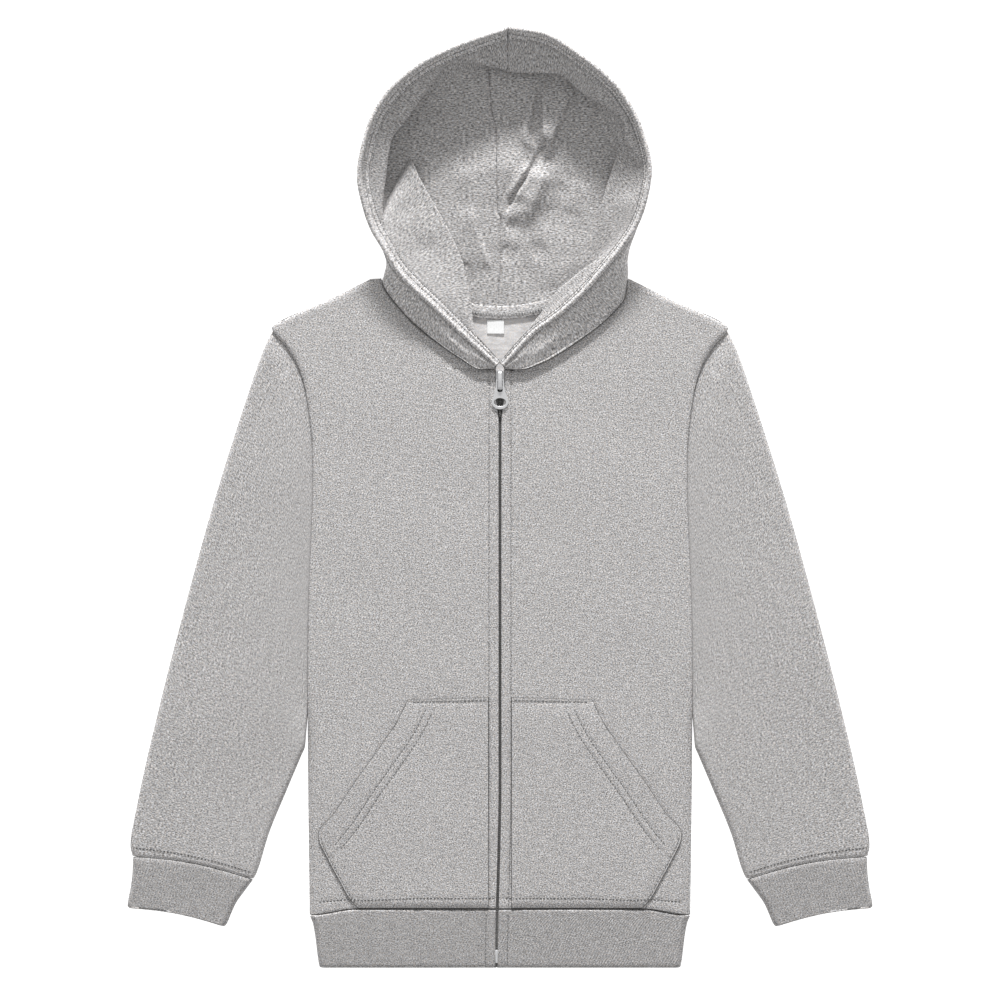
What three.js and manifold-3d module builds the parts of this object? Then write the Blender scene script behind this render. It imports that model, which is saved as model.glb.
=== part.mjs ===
// A child's zip-up hooded sweatshirt, zipped to the neck and laid flat on its back.
// Millimetres. +Z is up from the surface it lies on, +Y runs from the hem to the hood, and +X is
// to the right of someone who looks down at it. While the pieces are made, y is the height above
// the hem's edge and x is measured from the zip. The last lines move the origin to the middle.
import * as THREE from 'three';
import { mergeVertices } from 'three/addons/utils/BufferGeometryUtils.js';
import Module from 'manifold-3d';

const wasm = await Module();
wasm.setup();

// Cloth and gaps
const FLEECE = 2; // brushed sweatshirt cloth
const SLEEVE_CLOTH = 1.7;
const RIB = 2.6; // double layer of knitted rib
const HOOD_CLOTH = 1.6;
const LINING_CLOTH = 1.2;
const TAPE_CLOTH = 1;
const SEAM_GAP = 0.3;
const LAY_GAP = 0.4; // between one layer and the next one laid on it

// The whole garment
const OVERALL_LENGTH = 648.9; // hem edge to the top of the hood
const HEM_HEIGHT = 40.7;
const BODY_TOP = 7.5; // upper face of the fronts above the surface
const EDGE_ROUND = 9; // width over which a panel's edge rounds down
const SIDE_EDGE_TOP = 4.4; // upper face at a side fold and at the shoulder
const LAPPED_EDGE_TOP = 6.6; // upper face where the body's edge lies over a sleeve
const TUCK = 2.5; // how far a sleeve reaches in under the body's edge

// Half width of the body at a height: the side, the armhole and then the shoulder line
const BODY_EDGE = [
  { y: 41, x: 131.6, overSleeve: 0 },
  { y: 120, x: 132.6, overSleeve: 0 },
  { y: 162, x: 132.8, overSleeve: 0 },
  { y: 184, x: 132.8, overSleeve: 1 },
  { y: 254, x: 132.2, overSleeve: 1 },
  { y: 276, x: 131.4, overSleeve: 1 },
  { y: 309, x: 130, overSleeve: 1 },
  { y: 333, x: 129.2, overSleeve: 1 },
  { y: 357, x: 129.4, overSleeve: 1 },
  { y: 378, x: 131.1, overSleeve: 1 },
  { y: 390, x: 132.8, overSleeve: 1 },
  { y: 402, x: 135, overSleeve: 1 },
  { y: 417, x: 140.5, overSleeve: 1 },
  { y: 428.5, x: 147.5, overSleeve: 1 },
  { y: 439, x: 156.5, overSleeve: 1 },
  { y: 441.5, x: 157.8, overSleeve: 0.4 },
  { y: 444.5, x: 155, overSleeve: 0 },
  { y: 460, x: 121.5, overSleeve: 0 },
  { y: 476, x: 88.5, overSleeve: 0 },
];
const ARMHOLE_TOP = 441.5;
const UNDERARM = 276;
const SHOULDER = { tipX: 155, tipY: 444.5, neckX: 88.5, neckY: 476 };

// Front neckline: its distance from the zip on each side, at a height
const FRONT_NECK = [
  { y: 413.6, left: 15, right: 18.5 },
  { y: 419.3, left: 24, right: 31 },
  { y: 430.8, left: 41, right: 50 },
  { y: 443.3, left: 57.3, right: 66.8 },
  { y: 453, left: 66, right: 78 },
  { y: 463.5, left: 75.4, right: 84.5 },
  { y: 476, left: 82.2, right: 86 },
];
const ZIP_TOP = 413; // top of the fronts at the zip
const BACK_NECK = { low: 449.2, rise: 26.8, halfWidth: 84, power: 1.8 };

// Zip
const SLIT = 1.25; // from the middle of the zip to a front's edge
const SLIDER_SLIT = 3.4;
const ZIP_DRIFT = 2.4; // how far the zip wanders to the left at the hem
const ZIP_TAPE = { width: 11, bottom: 4.1, start: 2, end: 409 };
const ZIP_COIL = { from: 0.15, to: 0.95, top: 6.2 };
const ZIP_BOX = { halfWidth: 0.9, from: 3.5, to: 12.5, bottom: 6.4, top: 8 };
const SLIDER = {
  plateHalfWidth: 3, plateFrom: 398.6, plateTo: 412.6, plateBottom: 6.5, plateTop: 7.4,
  baseHalfWidth: 3.8, baseBottom: 2.5, baseTop: 3.5, baseTo: 412.6,
  postHalfWidth: 0.9, postFrom: 409.6,
  bridgeHalfWidth: 1.35, bridgeReach: 6.4, bridgeTop: 10.9, eyeTop: 9.4,
};
const PULL = {
  pivotY: 405.6, pivotZ: 8.4, thick: 1, bar: 0.55,
  armInner: 1.75, armOuter: 2.65, slot: 7.8,
  ringFrom: 11, ringMiddle: 15.5, ringTo: 20, ringHalfWidth: 5.5, holeHalfWidth: 4.2, holeHalfHeight: 2.75,
};

// Pocket halves: the outer edge at a height, from the hem seam up to the mouth's top corner
const POCKET_EDGE = [
  { y: 41.2, x: 98.2 },
  { y: 49.2, x: 104.9 },
  { y: 61.4, x: 111.6 },
  { y: 74.5, x: 118.7 },
  { y: 91, x: 125.4 },
  { y: 94, x: 125.2 },
  { y: 107, x: 114.6 },
  { y: 128.3, x: 100.4 },
  { y: 153.6, x: 82.4 },
  { y: 171.8, x: 70.4 },
  { y: 185.3, x: 63.9 },
];
const POCKET = { inner: 7.8, cloth: 1.8, swell: 0.8 };

// Hem rib: half width at a height
const HEM_EDGE = [
  { y: 0, x: 124.4 },
  { y: 2, x: 125 },
  { y: 34.5, x: 129.3 },
  { y: 40.4, x: 131.5 },
];
const HEM_TOP = 8;

// Sleeve: its outer fold from the shoulder tip to the cuff seam, and its inner fold below the body
const SLEEVE_OUTER = [
  { at: 0, x: 155.2, y: 438 },
  { at: 0.03, x: 161.6, y: 434 },
  { at: 0.15, x: 177, y: 389 },
  { at: 0.33, x: 198.4, y: 320 },
  { at: 0.52, x: 217.4, y: 251 },
  { at: 0.71, x: 235, y: 182.2 },
  { at: 0.9, x: 250.6, y: 113.2 },
  { at: 0.975, x: 255.4, y: 84.5 },
  { at: 1, x: 253.8, y: 77 },
];
const SLEEVE_INNER = [
  { at: 0, x: 130.2, y: 276 },
  { at: 0.28, x: 131.3, y: 215 },
  { at: 0.4, x: 131.7, y: 188 },
  { at: 0.5, x: 133.9, y: 162 },
  { at: 0.55, x: 134.6, y: 153 },
  { at: 0.6, x: 137.2, y: 146.5 },
  { at: 0.72, x: 147.5, y: 122 },
  { at: 0.85, x: 159.6, y: 92.5 },
  { at: 0.97, x: 167.6, y: 66.5 },
  { at: 1, x: 170.2, y: 61.3 },
];
const SLEEVE_TOP = 7;
const SLEEVE_LAPPED_TOP = 4.1; // height of a sleeve where the body's edge lies over it
const LAP_FADE = 18;
const ARMHOLE_GAP = 1.2; // between the back's edge and a sleeve's, both under the front's edge
const CUFF_SEAM_BOW = 3.3;
const CUFF_END_BOW = -1.4;
const CUFF = {
  top: 7.6,
  seamOuterX: 253.4, seamOuterY: 76.4, seamInnerX: 170.8, seamInnerY: 60.7,
  middleOuterX: 255.5, middleOuterY: 57, middleInnerX: 180.5, middleInnerY: 44,
  endOuterX: 257.8, endOuterY: 41.2, endInnerX: 188.6, endInnerY: 27.6,
};

// Hood: sections from the zip up one side to the top of the head. Each row gives the rim, which is
// the hood's edge round the face, and the foot, where its wall meets the neckline or the surface.
const HOOD_LEFT = [
  { at: 0, rimX: 2.8, rimY: 414.8, rimZ: 11.3, footX: 2.9, footY: 412.9, footZ: 9.5 },
  { at: 1, rimX: 14.5, rimY: 425, rimZ: 12.2, footX: 14, footY: 412.9, footZ: 9.5 },
  { at: 2, rimX: 26.9, rimY: 436.1, rimZ: 13.5, footX: 27.5, footY: 420.2, footZ: 9.5 },
  { at: 3, rimX: 47.1, rimY: 455.4, rimZ: 16, footX: 51, footY: 437.2, footZ: 9.5 },
  { at: 4, rimX: 61.1, rimY: 468.1, rimZ: 18, footX: 68, footY: 452.8, footZ: 9.5 },
  { at: 5, rimX: 73.4, rimY: 481.8, rimZ: 20, footX: 81.5, footY: 468.5, footZ: 9.5 },
  { at: 6, rimX: 82.2, rimY: 496.9, rimZ: 22, footX: 84.5, footY: 479.8, footZ: 7.5 },
  { at: 7, rimX: 89.3, rimY: 509, rimZ: 23, footX: 82.5, footY: 489, footZ: 0.4 },
  { at: 8, rimX: 94.4, rimY: 523, rimZ: 24, footX: 78.5, footY: 511, footZ: 0 },
  { at: 9, rimX: 98.6, rimY: 546.5, rimZ: 25, footX: 78, footY: 541, footZ: 0 },
  { at: 10, rimX: 92.1, rimY: 578.9, rimZ: 25, footX: 73, footY: 570, footZ: 0 },
  { at: 11, rimX: 79.5, rimY: 602.4, rimZ: 25, footX: 63, footY: 587, footZ: 0 },
  { at: 12, rimX: 54.1, rimY: 624.5, rimZ: 24, footX: 43, footY: 604.5, footZ: 0 },
  { at: 13, rimX: 22, rimY: 640.4, rimZ: 23, footX: 18, footY: 616, footZ: 0 },
  { at: 14, rimX: 0.2, rimY: 648.4, rimZ: 22, footX: 0.2, footY: 620, footZ: 0 },
];
const HOOD_RIGHT = [
  { at: 0, rimX: 2.6, rimY: 414.8, rimZ: 11.3, footX: 2.9, footY: 412.9, footZ: 9.5 },
  { at: 1, rimX: 13, rimY: 425.8, rimZ: 12.2, footX: 15, footY: 412.7, footZ: 9.5 },
  { at: 2, rimX: 24.6, rimY: 437.5, rimZ: 13.5, footX: 30, footY: 417.6, footZ: 9.5 },
  { at: 3, rimX: 41.7, rimY: 449.9, rimZ: 16, footX: 54, footY: 432.2, footZ: 9.5 },
  { at: 4, rimX: 59.1, rimY: 465.8, rimZ: 18, footX: 76, footY: 449.5, footZ: 9.5 },
  { at: 5, rimX: 73.1, rimY: 481.6, rimZ: 20, footX: 87, footY: 464, footZ: 9.5 },
  { at: 6, rimX: 87.6, rimY: 499.7, rimZ: 22, footX: 88.5, footY: 479.8, footZ: 7.5 },
  { at: 7, rimX: 95.5, rimY: 512.4, rimZ: 23, footX: 86, footY: 489, footZ: 0.4 },
  { at: 8, rimX: 100, rimY: 524, rimZ: 24, footX: 82, footY: 511, footZ: 0 },
  { at: 9, rimX: 104.6, rimY: 549.6, rimZ: 25, footX: 82, footY: 543, footZ: 0 },
  { at: 10, rimX: 98.8, rimY: 576.5, rimZ: 25, footX: 77.5, footY: 568, footZ: 0 },
  { at: 11, rimX: 83.5, rimY: 605.1, rimZ: 25, footX: 66, footY: 589, footZ: 0 },
  { at: 12, rimX: 56, rimY: 629.3, rimZ: 24, footX: 44, footY: 607, footZ: 0 },
  { at: 13, rimX: 27, rimY: 645, rimZ: 23, footX: 20, footY: 618, footZ: 0 },
  { at: 14, rimX: 0.2, rimY: 648.9, rimZ: 22, footX: 0.2, footY: 620, footZ: 0 },
];
const HOOD_ENDS = { zip: 0, neck: 7, top: 14 };
const HOOD_SEAM = { from: 450, to: 598 }; // the centre back seam, nape to crown
const FACING_START = 1; // the facing begins this many rows above the zip
const LINING_START = 0.86;
const HALF_SEAM = 0.2;

// The hood lining's largest folds: a soft ridge from one place to another
const LINING_FOLDS = [
  { fromX: -60, fromY: 562, toX: -24, toY: 472, height: 6, width: 11 },
  { fromX: 24, fromY: 608, toX: 28, toY: 560, height: 5, width: 8 },
  { fromX: 26, fromY: 552, toX: 14, toY: 528, height: 5, width: 8 },
  { fromX: 44, fromY: 600, toX: 36, toY: 552, height: 4, width: 9 },
  { fromX: 36, fromY: 545, toX: 20, toY: 496, height: 5, width: 11 },
  { fromX: -2, fromY: 600, toX: -2, toY: 480, height: 3, width: 10 },
  { fromX: 62, fromY: 560, toX: 50, toY: 492, height: 4, width: 12 },
];

const NECK_TAPE = { halfLength: 58, below: 1.5, above: 7.5, bottom: 3.9 };
const SIZE_LABEL = { left: -8.9, right: 2.8, top: 447.2, bottom: 437.6, under: 2.4, thick: 1 };

const heather = (colour) => new THREE.MeshStandardMaterial({ color: colour, roughness: 0.95, metalness: 0 });
const MATERIALS = {
  body: heather(0xb4b3b3),
  rib: heather(0xa3a2a1),
  lining: heather(0xa5a4a2),
  tape: heather(0x8b8f97),
  label: heather(0xf2f2f2),
  metal: new THREE.MeshStandardMaterial({ color: 0xb9bbbe, roughness: 0.35, metalness: 1 }),
};

const { clamp, lerp, smoothstep } = THREE.MathUtils;
const range = (count) => Array.from({ length: count }, (_, i) => i);
const spaced = (from, to, count) => range(count).map((i) => lerp(from, to, i / (count - 1)));

// A smooth curve through one column of a table that never swings past its rows.
function curve(rows, key, column) {
  const xs = rows.map((row) => row[key]);
  const ys = rows.map((row) => row[column]);
  const slopes = xs.slice(1).map((x, i) => (ys[i + 1] - ys[i]) / (x - xs[i]));
  const tangents = xs.map((_, i) => {
    if (i === 0 || i === xs.length - 1) return slopes[Math.min(i, slopes.length - 1)];
    const [before, after] = [slopes[i - 1], slopes[i]];
    return before * after <= 0 ? 0 : (2 * before * after) / (before + after);
  });
  return (at) => {
    const here = clamp(at, xs[0], xs[xs.length - 1]);
    const i = clamp(xs.findIndex((x) => x >= here) - 1, 0, xs.length - 2);
    const width = xs[i + 1] - xs[i];
    const t = (here - xs[i]) / width;
    const rise = ys[i + 1] - ys[i];
    return ys[i] + rise * t * t * (3 - 2 * t)
      + width * t * (1 - t) * (tangents[i] * (1 - t) - tangents[i + 1] * t);
  };
}

// A wall of cloth: a skin of quads, the same quads on the other face, and a strip round each free edge.
function wall(outer, inner, quads) {
  const count = outer.length;
  const faces = quads.flatMap(([a, b, c, d]) => [[a, b, c], [a, c, d]]);
  const edges = new Set(faces.flatMap(([a, b, c]) => [`${a} ${b}`, `${b} ${c}`, `${c} ${a}`]));
  const strips = [];
  for (const edge of edges) {
    const [p, q] = edge.split(' ').map(Number);
    if (!edges.has(`${q} ${p}`)) strips.push([q, p, p + count], [q, p + count, q + count]);
  }
  const backs = faces.map(([a, b, c]) => [a + count, c + count, b + count]);
  return solid([...outer, ...inner], [...faces, ...backs, ...strips]);
}

// A geometry from points and triangles, turned so that its faces point out.
function solid(points, faces) {
  const volume = faces.reduce((sum, [a, b, c]) => (
    sum + points[a].dot(new THREE.Vector3().crossVectors(points[b], points[c]))
  ), 0);
  const turned = volume < 0 ? faces.map(([a, b, c]) => [a, c, b]) : faces;
  const geometry = new THREE.BufferGeometry();
  geometry.setAttribute('position', new THREE.Float32BufferAttribute(points.flatMap((p) => p.toArray()), 3));
  geometry.setIndex(turned.flat());
  geometry.computeVertexNormals();
  return geometry;
}

// Quads over rows of points. With around, each row's last point joins its first.
function grid(rows, columns, around = false) {
  const steps = around ? columns : columns - 1;
  return range(rows - 1).flatMap((i) => range(steps).map((j) => {
    const next = (j + 1) % columns;
    return [i * columns + j, i * columns + next, (i + 1) * columns + next, (i + 1) * columns + j];
  }));
}

function piece(name, geometry, material, group) {
  const mesh = new THREE.Mesh(geometry, material);
  mesh.name = name;
  group.add(mesh);
}

// The body's outlines
const bodyEdge = curve(BODY_EDGE, 'y', 'x');
const overSleeve = curve(BODY_EDGE, 'y', 'overSleeve');
const pocketEdge = curve(POCKET_EDGE, 'y', 'x');
const hemEdge = curve(HEM_EDGE, 'y', 'x');
const neckline = { left: curve(FRONT_NECK, 'y', 'left'), right: curve(FRONT_NECK, 'y', 'right') };
const zipMiddle = (y) => -ZIP_DRIFT * (1 - smoothstep(y, 0, 130));
const backNeck = (x) => (
  BACK_NECK.low + BACK_NECK.rise * Math.min(1, Math.abs(x) / BACK_NECK.halfWidth) ** BACK_NECK.power
);

function shoulderLine(x) {
  const along = (SHOULDER.tipX - Math.abs(x)) / (SHOULDER.tipX - SHOULDER.neckX);
  return lerp(SHOULDER.tipY, SHOULDER.neckY, along);
}

// Upper face of a front at a place on it
function frontTop(x, y) {
  const fromSide = bodyEdge(y) - Math.abs(x);
  const fromShoulder = Math.abs(x) > SHOULDER.neckX - EDGE_ROUND ? shoulderLine(x) - y : EDGE_ROUND;
  const near = clamp(Math.min(fromSide, fromShoulder) / EDGE_ROUND, 0, 1);
  const edge = lerp(SIDE_EDGE_TOP, LAPPED_EDGE_TOP, overSleeve(y));
  return lerp(edge, BODY_TOP, Math.sin((near * Math.PI) / 2));
}

function frontInnerEdge(side, y) {
  if (y > ZIP_TOP) return neckline[side](y);
  const atSlider = smoothstep(y, SLIDER.plateFrom - 6, SLIDER.plateFrom - 1);
  return lerp(SLIT, SLIDER_SLIT, atSlider);
}

const FRONT_ROWS = [
  41, 60, 90, 120, 148, 160, 172, 200, 230, 254, 276, 300, 325, 350, 370, 385, 392.6, 397.6, 406, 413, 413.6,
  419.3, 425, 430.8, 437, 441.5, 444.5, 448, 453, 458, 463.5, 470, 476,
];
const FRONT_COLUMNS = [0, 0.12, 0.3, 0.5, 0.7, 0.86, 0.935, 0.975, 1];

function front(side) {
  const sign = side === 'left' ? -1 : 1;
  const outer = FRONT_ROWS.flatMap((y) => {
    const from = frontInnerEdge(side, y) + (y > ZIP_TOP ? 0 : sign * zipMiddle(y));
    return FRONT_COLUMNS.map((u) => {
      const x = sign * lerp(from, bodyEdge(y), u);
      return new THREE.Vector3(x, y, frontTop(x, y));
    });
  });
  const inner = outer.map((p) => new THREE.Vector3(p.x, p.y, p.z - FLEECE));
  return wall(outer, inner, grid(FRONT_ROWS.length, FRONT_COLUMNS.length));
}

function back() {
  const straightRows = [41, 90, 120, 148, 170, 200, 240, 276, 309, 345, 378, 402, 417, 428.5];
  const fanRows = [0.35, 0.7, 1];
  const columns = spaced(-1, 1, 17);
  const halfWidth = (y) => bodyEdge(y) - TUCK * overSleeve(y);
  const shoulderY = straightRows[straightRows.length - 1];
  const straight = straightRows.flatMap((y) => columns.map((u) => [u * halfWidth(y), y]));
  const fan = fanRows.flatMap((rise) => columns.map((u) => {
    const topX = u * (bodyEdge(ARMHOLE_TOP) - 1);
    const topY = Math.abs(topX) < BACK_NECK.halfWidth ? backNeck(topX) : Math.max(shoulderLine(topX), ARMHOLE_TOP);
    return [lerp(u * halfWidth(shoulderY), topX, rise), lerp(shoulderY, topY, rise)];
  }));
  const outline = [...straight, ...fan];
  const lower = outline.map(([x, y]) => new THREE.Vector3(x, y, 0));
  const upper = outline.map(([x, y]) => new THREE.Vector3(x, y, FLEECE));
  return wall(upper, lower, grid(straightRows.length + fanRows.length, columns.length));
}

function pocket(side) {
  const sign = side === 'left' ? -1 : 1;
  const rows = [41.2, 49.2, 61.4, 74.5, 91, 94, 107, 128.3, 153.6, 171.8, 185.3];
  const columns = [0, 0.25, 0.5, 0.75, 0.93, 1];
  const outer = rows.flatMap((y, i) => columns.map((u, j) => {
    const inside = i > 0 && i < rows.length - 1 && j > 0 && j < columns.length - 1;
    const x = sign * lerp(POCKET.inner, pocketEdge(y), u);
    const lift = LAY_GAP + POCKET.cloth + (inside ? POCKET.swell : 0);
    return new THREE.Vector3(x, y, frontTop(x, y) + lift);
  }));
  const inner = outer.map((p) => new THREE.Vector3(p.x, p.y, p.z - POCKET.cloth));
  return wall(outer, inner, grid(rows.length, columns.length));
}

// The places round a flattened tube: down one face, round its fold and back along the other.
// Each has the share of the width, the fold it belongs to and the angle round that fold.
const FOLD_ANGLES = [30, 60, 90];
const TUBE_SHARES = [0.12, 0.3, 0.5, 0.7, 0.88];
function tubePlaces() {
  const start = FOLD_ANGLES.map((angle) => ({ fold: 'start', angle }));
  const end = FOLD_ANGLES.map((angle) => ({ fold: 'end', angle }));
  const upper = [...start, ...TUBE_SHARES.map((share) => ({ share, angle: 90 })), ...[...end].reverse()];
  const lower = [...upper].reverse().map((place) => ({ ...place, angle: -place.angle }));
  return [{ fold: 'start', angle: 0 }, ...upper, { fold: 'end', angle: 0 }, ...lower];
}

// One ring of a flattened tube. line(share) is its path in plan and height(share) its thickness.
function tubeRing(line, height, inset) {
  const from = line(0);
  const length = from.distanceTo(line(1));
  return tubePlaces().map(({ fold, share, angle }) => {
    const radians = (angle * Math.PI) / 180;
    const radius = (at) => height(at) / 2;
    let at = share;
    if (fold === 'start') at = (radius(0) - (radius(0) - inset) * Math.cos(radians)) / length;
    if (fold === 'end') at = 1 - (radius(1) - (radius(1) - inset) * Math.cos(radians)) / length;
    const p = line(at);
    const z = radius(at) + (radius(at) - inset) * Math.sin(radians);
    return new THREE.Vector3(p.x, p.y, z);
  });
}

function tube(rings, cloth) {
  const outer = rings.flatMap(({ line, height }) => tubeRing(line, height, 0));
  const inner = rings.flatMap(({ line, height }) => tubeRing(line, height, cloth));
  return wall(outer, inner, grid(rings.length, tubePlaces().length, true));
}

const sleeveOuter = { x: curve(SLEEVE_OUTER, 'at', 'x'), y: curve(SLEEVE_OUTER, 'at', 'y') };
const sleeveInner = { x: curve(SLEEVE_INNER, 'at', 'x'), y: curve(SLEEVE_INNER, 'at', 'y') };
const bowed = (a, b, share, bow) => new THREE.Vector2(
  lerp(a.x, b.x, share), lerp(a.y, b.y, share) + bow * Math.sin(Math.PI * clamp(share, 0, 1)),
);

// The armhole edge of a sleeve, from the shoulder tip down to the underarm
function armhole(share) {
  const y = lerp(SLEEVE_OUTER[0].y, UNDERARM, share);
  return new THREE.Vector2(bodyEdge(y) - TUCK + ARMHOLE_GAP, y);
}

function sleeve(sign) {
  const stations = [0, 0.03, 0.08, 0.16, 0.25, 0.35, 0.45, 0.55, 0.62, 0.7, 0.8, 0.9, 0.96, 1];
  const rings = stations.map((at) => {
    const a = new THREE.Vector2(sleeveOuter.x(at), sleeveOuter.y(at));
    const b = new THREE.Vector2(sleeveInner.x(at), sleeveInner.y(at));
    const atArmhole = (1 - at) ** 4;
    const line = (share) => {
      const straight = bowed(a, b, share, CUFF_SEAM_BOW * at ** 4);
      const top = new THREE.Vector2(SLEEVE_OUTER[0].x, SLEEVE_OUTER[0].y);
      const under = new THREE.Vector2(SLEEVE_INNER[0].x, SLEEVE_INNER[0].y);
      const curved = armhole(share).sub(bowed(top, under, share, 0)).multiplyScalar(atArmhole);
      const p = straight.add(curved);
      return new THREE.Vector2(sign * p.x, p.y);
    };
    const height = (share) => {
      const p = line(share);
      const lapped = overSleeve(p.y) * (1 - smoothstep(Math.abs(p.x) - bodyEdge(p.y), 0.5, LAP_FADE));
      return lerp(SLEEVE_TOP, SLEEVE_LAPPED_TOP, p.y > UNDERARM ? lapped : Math.min(1, 3 * lapped));
    };
    return { line, height };
  });
  return tube(rings, SLEEVE_CLOTH);
}

function cuff(sign) {
  const ends = ['seam', 'middle', 'end'].map((name) => ({
    a: new THREE.Vector2(CUFF[`${name}OuterX`], CUFF[`${name}OuterY`]),
    b: new THREE.Vector2(CUFF[`${name}InnerX`], CUFF[`${name}InnerY`]),
  }));
  const rings = ends.map(({ a, b }, i) => ({
    line: (share) => {
      const p = bowed(a, b, share, lerp(CUFF_SEAM_BOW, CUFF_END_BOW, i / (ends.length - 1)));
      return new THREE.Vector2(sign * p.x, p.y);
    },
    height: () => CUFF.top,
  }));
  return tube(rings, RIB);
}

// The hem rib runs from the zip's left side round the back to its right side.
function waistband() {
  const rows = HEM_EDGE.map((row) => row.y);
  const shares = [0.25, 0.5, 0.75];
  const folded = (y, inset) => {
    const radius = HEM_TOP / 2;
    const half = hemEdge(y);
    const arc = FOLD_ANGLES.slice(0, 2);
    const turn = [90, ...[...arc].reverse(), 0, ...arc.map((angle) => -angle), -90];
    const slitAt = (sign) => zipMiddle(y) + sign * SLIT;
    const faceX = (sign, share) => lerp(slitAt(sign), sign * (half - radius), share);
    const upper = (sign) => [0, ...shares].map((share) => [faceX(sign, share), HEM_TOP - inset]);
    const fold = (sign) => turn.map((angle) => {
      const radians = (angle * Math.PI) / 180;
      return [
        sign * (half - radius + (radius - inset) * Math.cos(radians)),
        radius + (radius - inset) * Math.sin(radians),
      ];
    });
    const lower = spaced(-1, 1, 9).slice(1, -1).map((share) => [share * (half - radius), inset]);
    return [...upper(-1), ...fold(-1), ...lower, ...fold(1).reverse(), ...upper(1).reverse()];
  };
  const skin = (inset) => rows.flatMap((y) => folded(y, inset).map(([x, z]) => new THREE.Vector3(x, y, z)));
  return wall(skin(0), skin(RIB), grid(rows.length, folded(0, 0).length));
}

// The hood's skin. along runs up the rim by table rows, and in runs from the rim (0) down the wall
// to its foot (1) and over the back of the head to the centre seam (2).
function hoodSkin(side) {
  const rows = side === 'left' ? HOOD_LEFT : HOOD_RIGHT;
  const sign = side === 'left' ? -1 : 1;
  const columns = ['rimX', 'rimY', 'rimZ', 'footX', 'footY', 'footZ'];
  const read = Object.fromEntries(columns.map((name) => [name, curve(rows, 'at', name)]));
  const belly = curve([{ at: 0, z: 0 }, { at: 0.3, z: 0.44 }, { at: 0.65, z: 0.8 }, { at: 1, z: 1 }], 'at', 'z');
  return (along, inward) => {
    const rim = { x: read.rimX(along), y: read.rimY(along), z: read.rimZ(along) };
    const foot = { x: read.footX(along), y: read.footY(along), z: read.footZ(along) };
    const down = Math.min(1, inward);
    let x = lerp(rim.x, foot.x, down);
    let y = lerp(rim.y, foot.y, down);
    let z = lerp(rim.z, foot.z, belly(down));
    if (inward > 1) {
      const over = inward - 1;
      const up = clamp((along - HOOD_ENDS.neck) / (HOOD_ENDS.top - HOOD_ENDS.neck), 0, 1);
      const seamY = lerp(HOOD_SEAM.from, HOOD_SEAM.to, up);
      x = lerp(foot.x, 0.2, over);
      z *= (1 - over) ** 2;
      const nape = backNeck(x) + 0.8 + (foot.y - backNeck(foot.x) - 0.8) * (1 - over) ** 5;
      y = lerp(nape, lerp(foot.y, seamY, over), Math.min(1, 4 * up));
    }
    return new THREE.Vector3(sign * x, y, z);
  };
}

// The hood's skin moved towards the face by a distance, along the skin's own normal.
function hoodLayer(side, distance) {
  const skin = hoodSkin(side);
  const sign = side === 'left' ? 1 : -1;
  const step = 0.06;
  return (along, inward) => {
    const at = clamp(along, HOOD_ENDS.zip + step, HOOD_ENDS.top - step);
    const into = clamp(inward, step, 2 - step);
    const up = skin(at + step, into).sub(skin(at - step, into));
    const across = skin(at, into + step).sub(skin(at, into - step));
    const normal = across.cross(up).normalize();
    return skin(along, inward).addScaledVector(normal, sign * distance);
  };
}

const HOOD_STATIONS = spaced(HOOD_ENDS.zip, HOOD_ENDS.top, 29);
const WALL_STEPS = [0, 0.2, 0.45, 0.75, 1];
const FLOOR_STEPS = [1.25, 1.5, 1.75, 2];

function hoodOuter(side) {
  const stations = HOOD_STATIONS;
  const steps = [...WALL_STEPS, ...FLOOR_STEPS];
  const places = stations.flatMap((along) => steps.map((inward) => [along, inward]));
  const kept = grid(stations.length, steps.length).filter((quad) => (
    quad.every((i) => places[i][1] <= 1 || places[i][0] >= HOOD_ENDS.neck)
  ));
  return layered(side, places, kept, 0, HOOD_CLOTH);
}

// A wall between two layers over the hood's skin. Places that no quad uses are left out.
function layered(side, places, quads, from, to, raise = () => 0) {
  const used = [...new Set(quads.flat())].sort((a, b) => a - b);
  const index = new Map(used.map((place, i) => [place, i]));
  const sign = side === 'left' ? -1 : 1;
  const layer = (distance) => {
    const at = hoodLayer(side, distance);
    return used.map((i) => {
      const p = at(...places[i]);
      const fromSeam = Math.max(HALF_SEAM, Math.abs(p.x));
      return new THREE.Vector3(sign * fromSeam, p.y, Math.max(0, p.z) + raise(p));
    });
  };
  return wall(layer(from), layer(to), quads.map((quad) => quad.map((i) => index.get(i))));
}

function hoodFacing(side) {
  const stations = HOOD_STATIONS.filter((along) => along >= FACING_START);
  const steps = WALL_STEPS.slice(0, -1);
  const places = stations.flatMap((along) => steps.map((inward) => [along, inward]));
  const from = HOOD_CLOTH + SEAM_GAP;
  return layered(side, places, grid(stations.length, steps.length), from, from + LINING_CLOTH);
}

function foldHeight(p) {
  const height = LINING_FOLDS.map((fold) => {
    const start = new THREE.Vector2(fold.fromX, fold.fromY);
    const run = new THREE.Vector2(fold.toX, fold.toY).sub(start);
    const offset = new THREE.Vector2(p.x, p.y).sub(start);
    const along = clamp(offset.dot(run) / run.lengthSq(), 0, 1);
    const away = offset.sub(run.multiplyScalar(along)).length();
    return fold.height * Math.exp(-((away / fold.width) ** 2));
  });
  const clearOfNape = smoothstep(p.y - backNeck(p.x), 10, 30);
  return Math.max(...height) * clearOfNape;
}

function hoodLining(side) {
  const stations = spaced(HOOD_ENDS.neck + 0.1, HOOD_ENDS.top, 19);
  const steps = [LINING_START, 0.95, ...spaced(1.06, 2, 11)];
  const places = stations.flatMap((along) => steps.map((inward) => [along, inward]));
  const from = HOOD_CLOTH + SEAM_GAP;
  return layered(side, places, grid(stations.length, steps.length), from, from + LINING_CLOTH, foldHeight);
}

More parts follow.
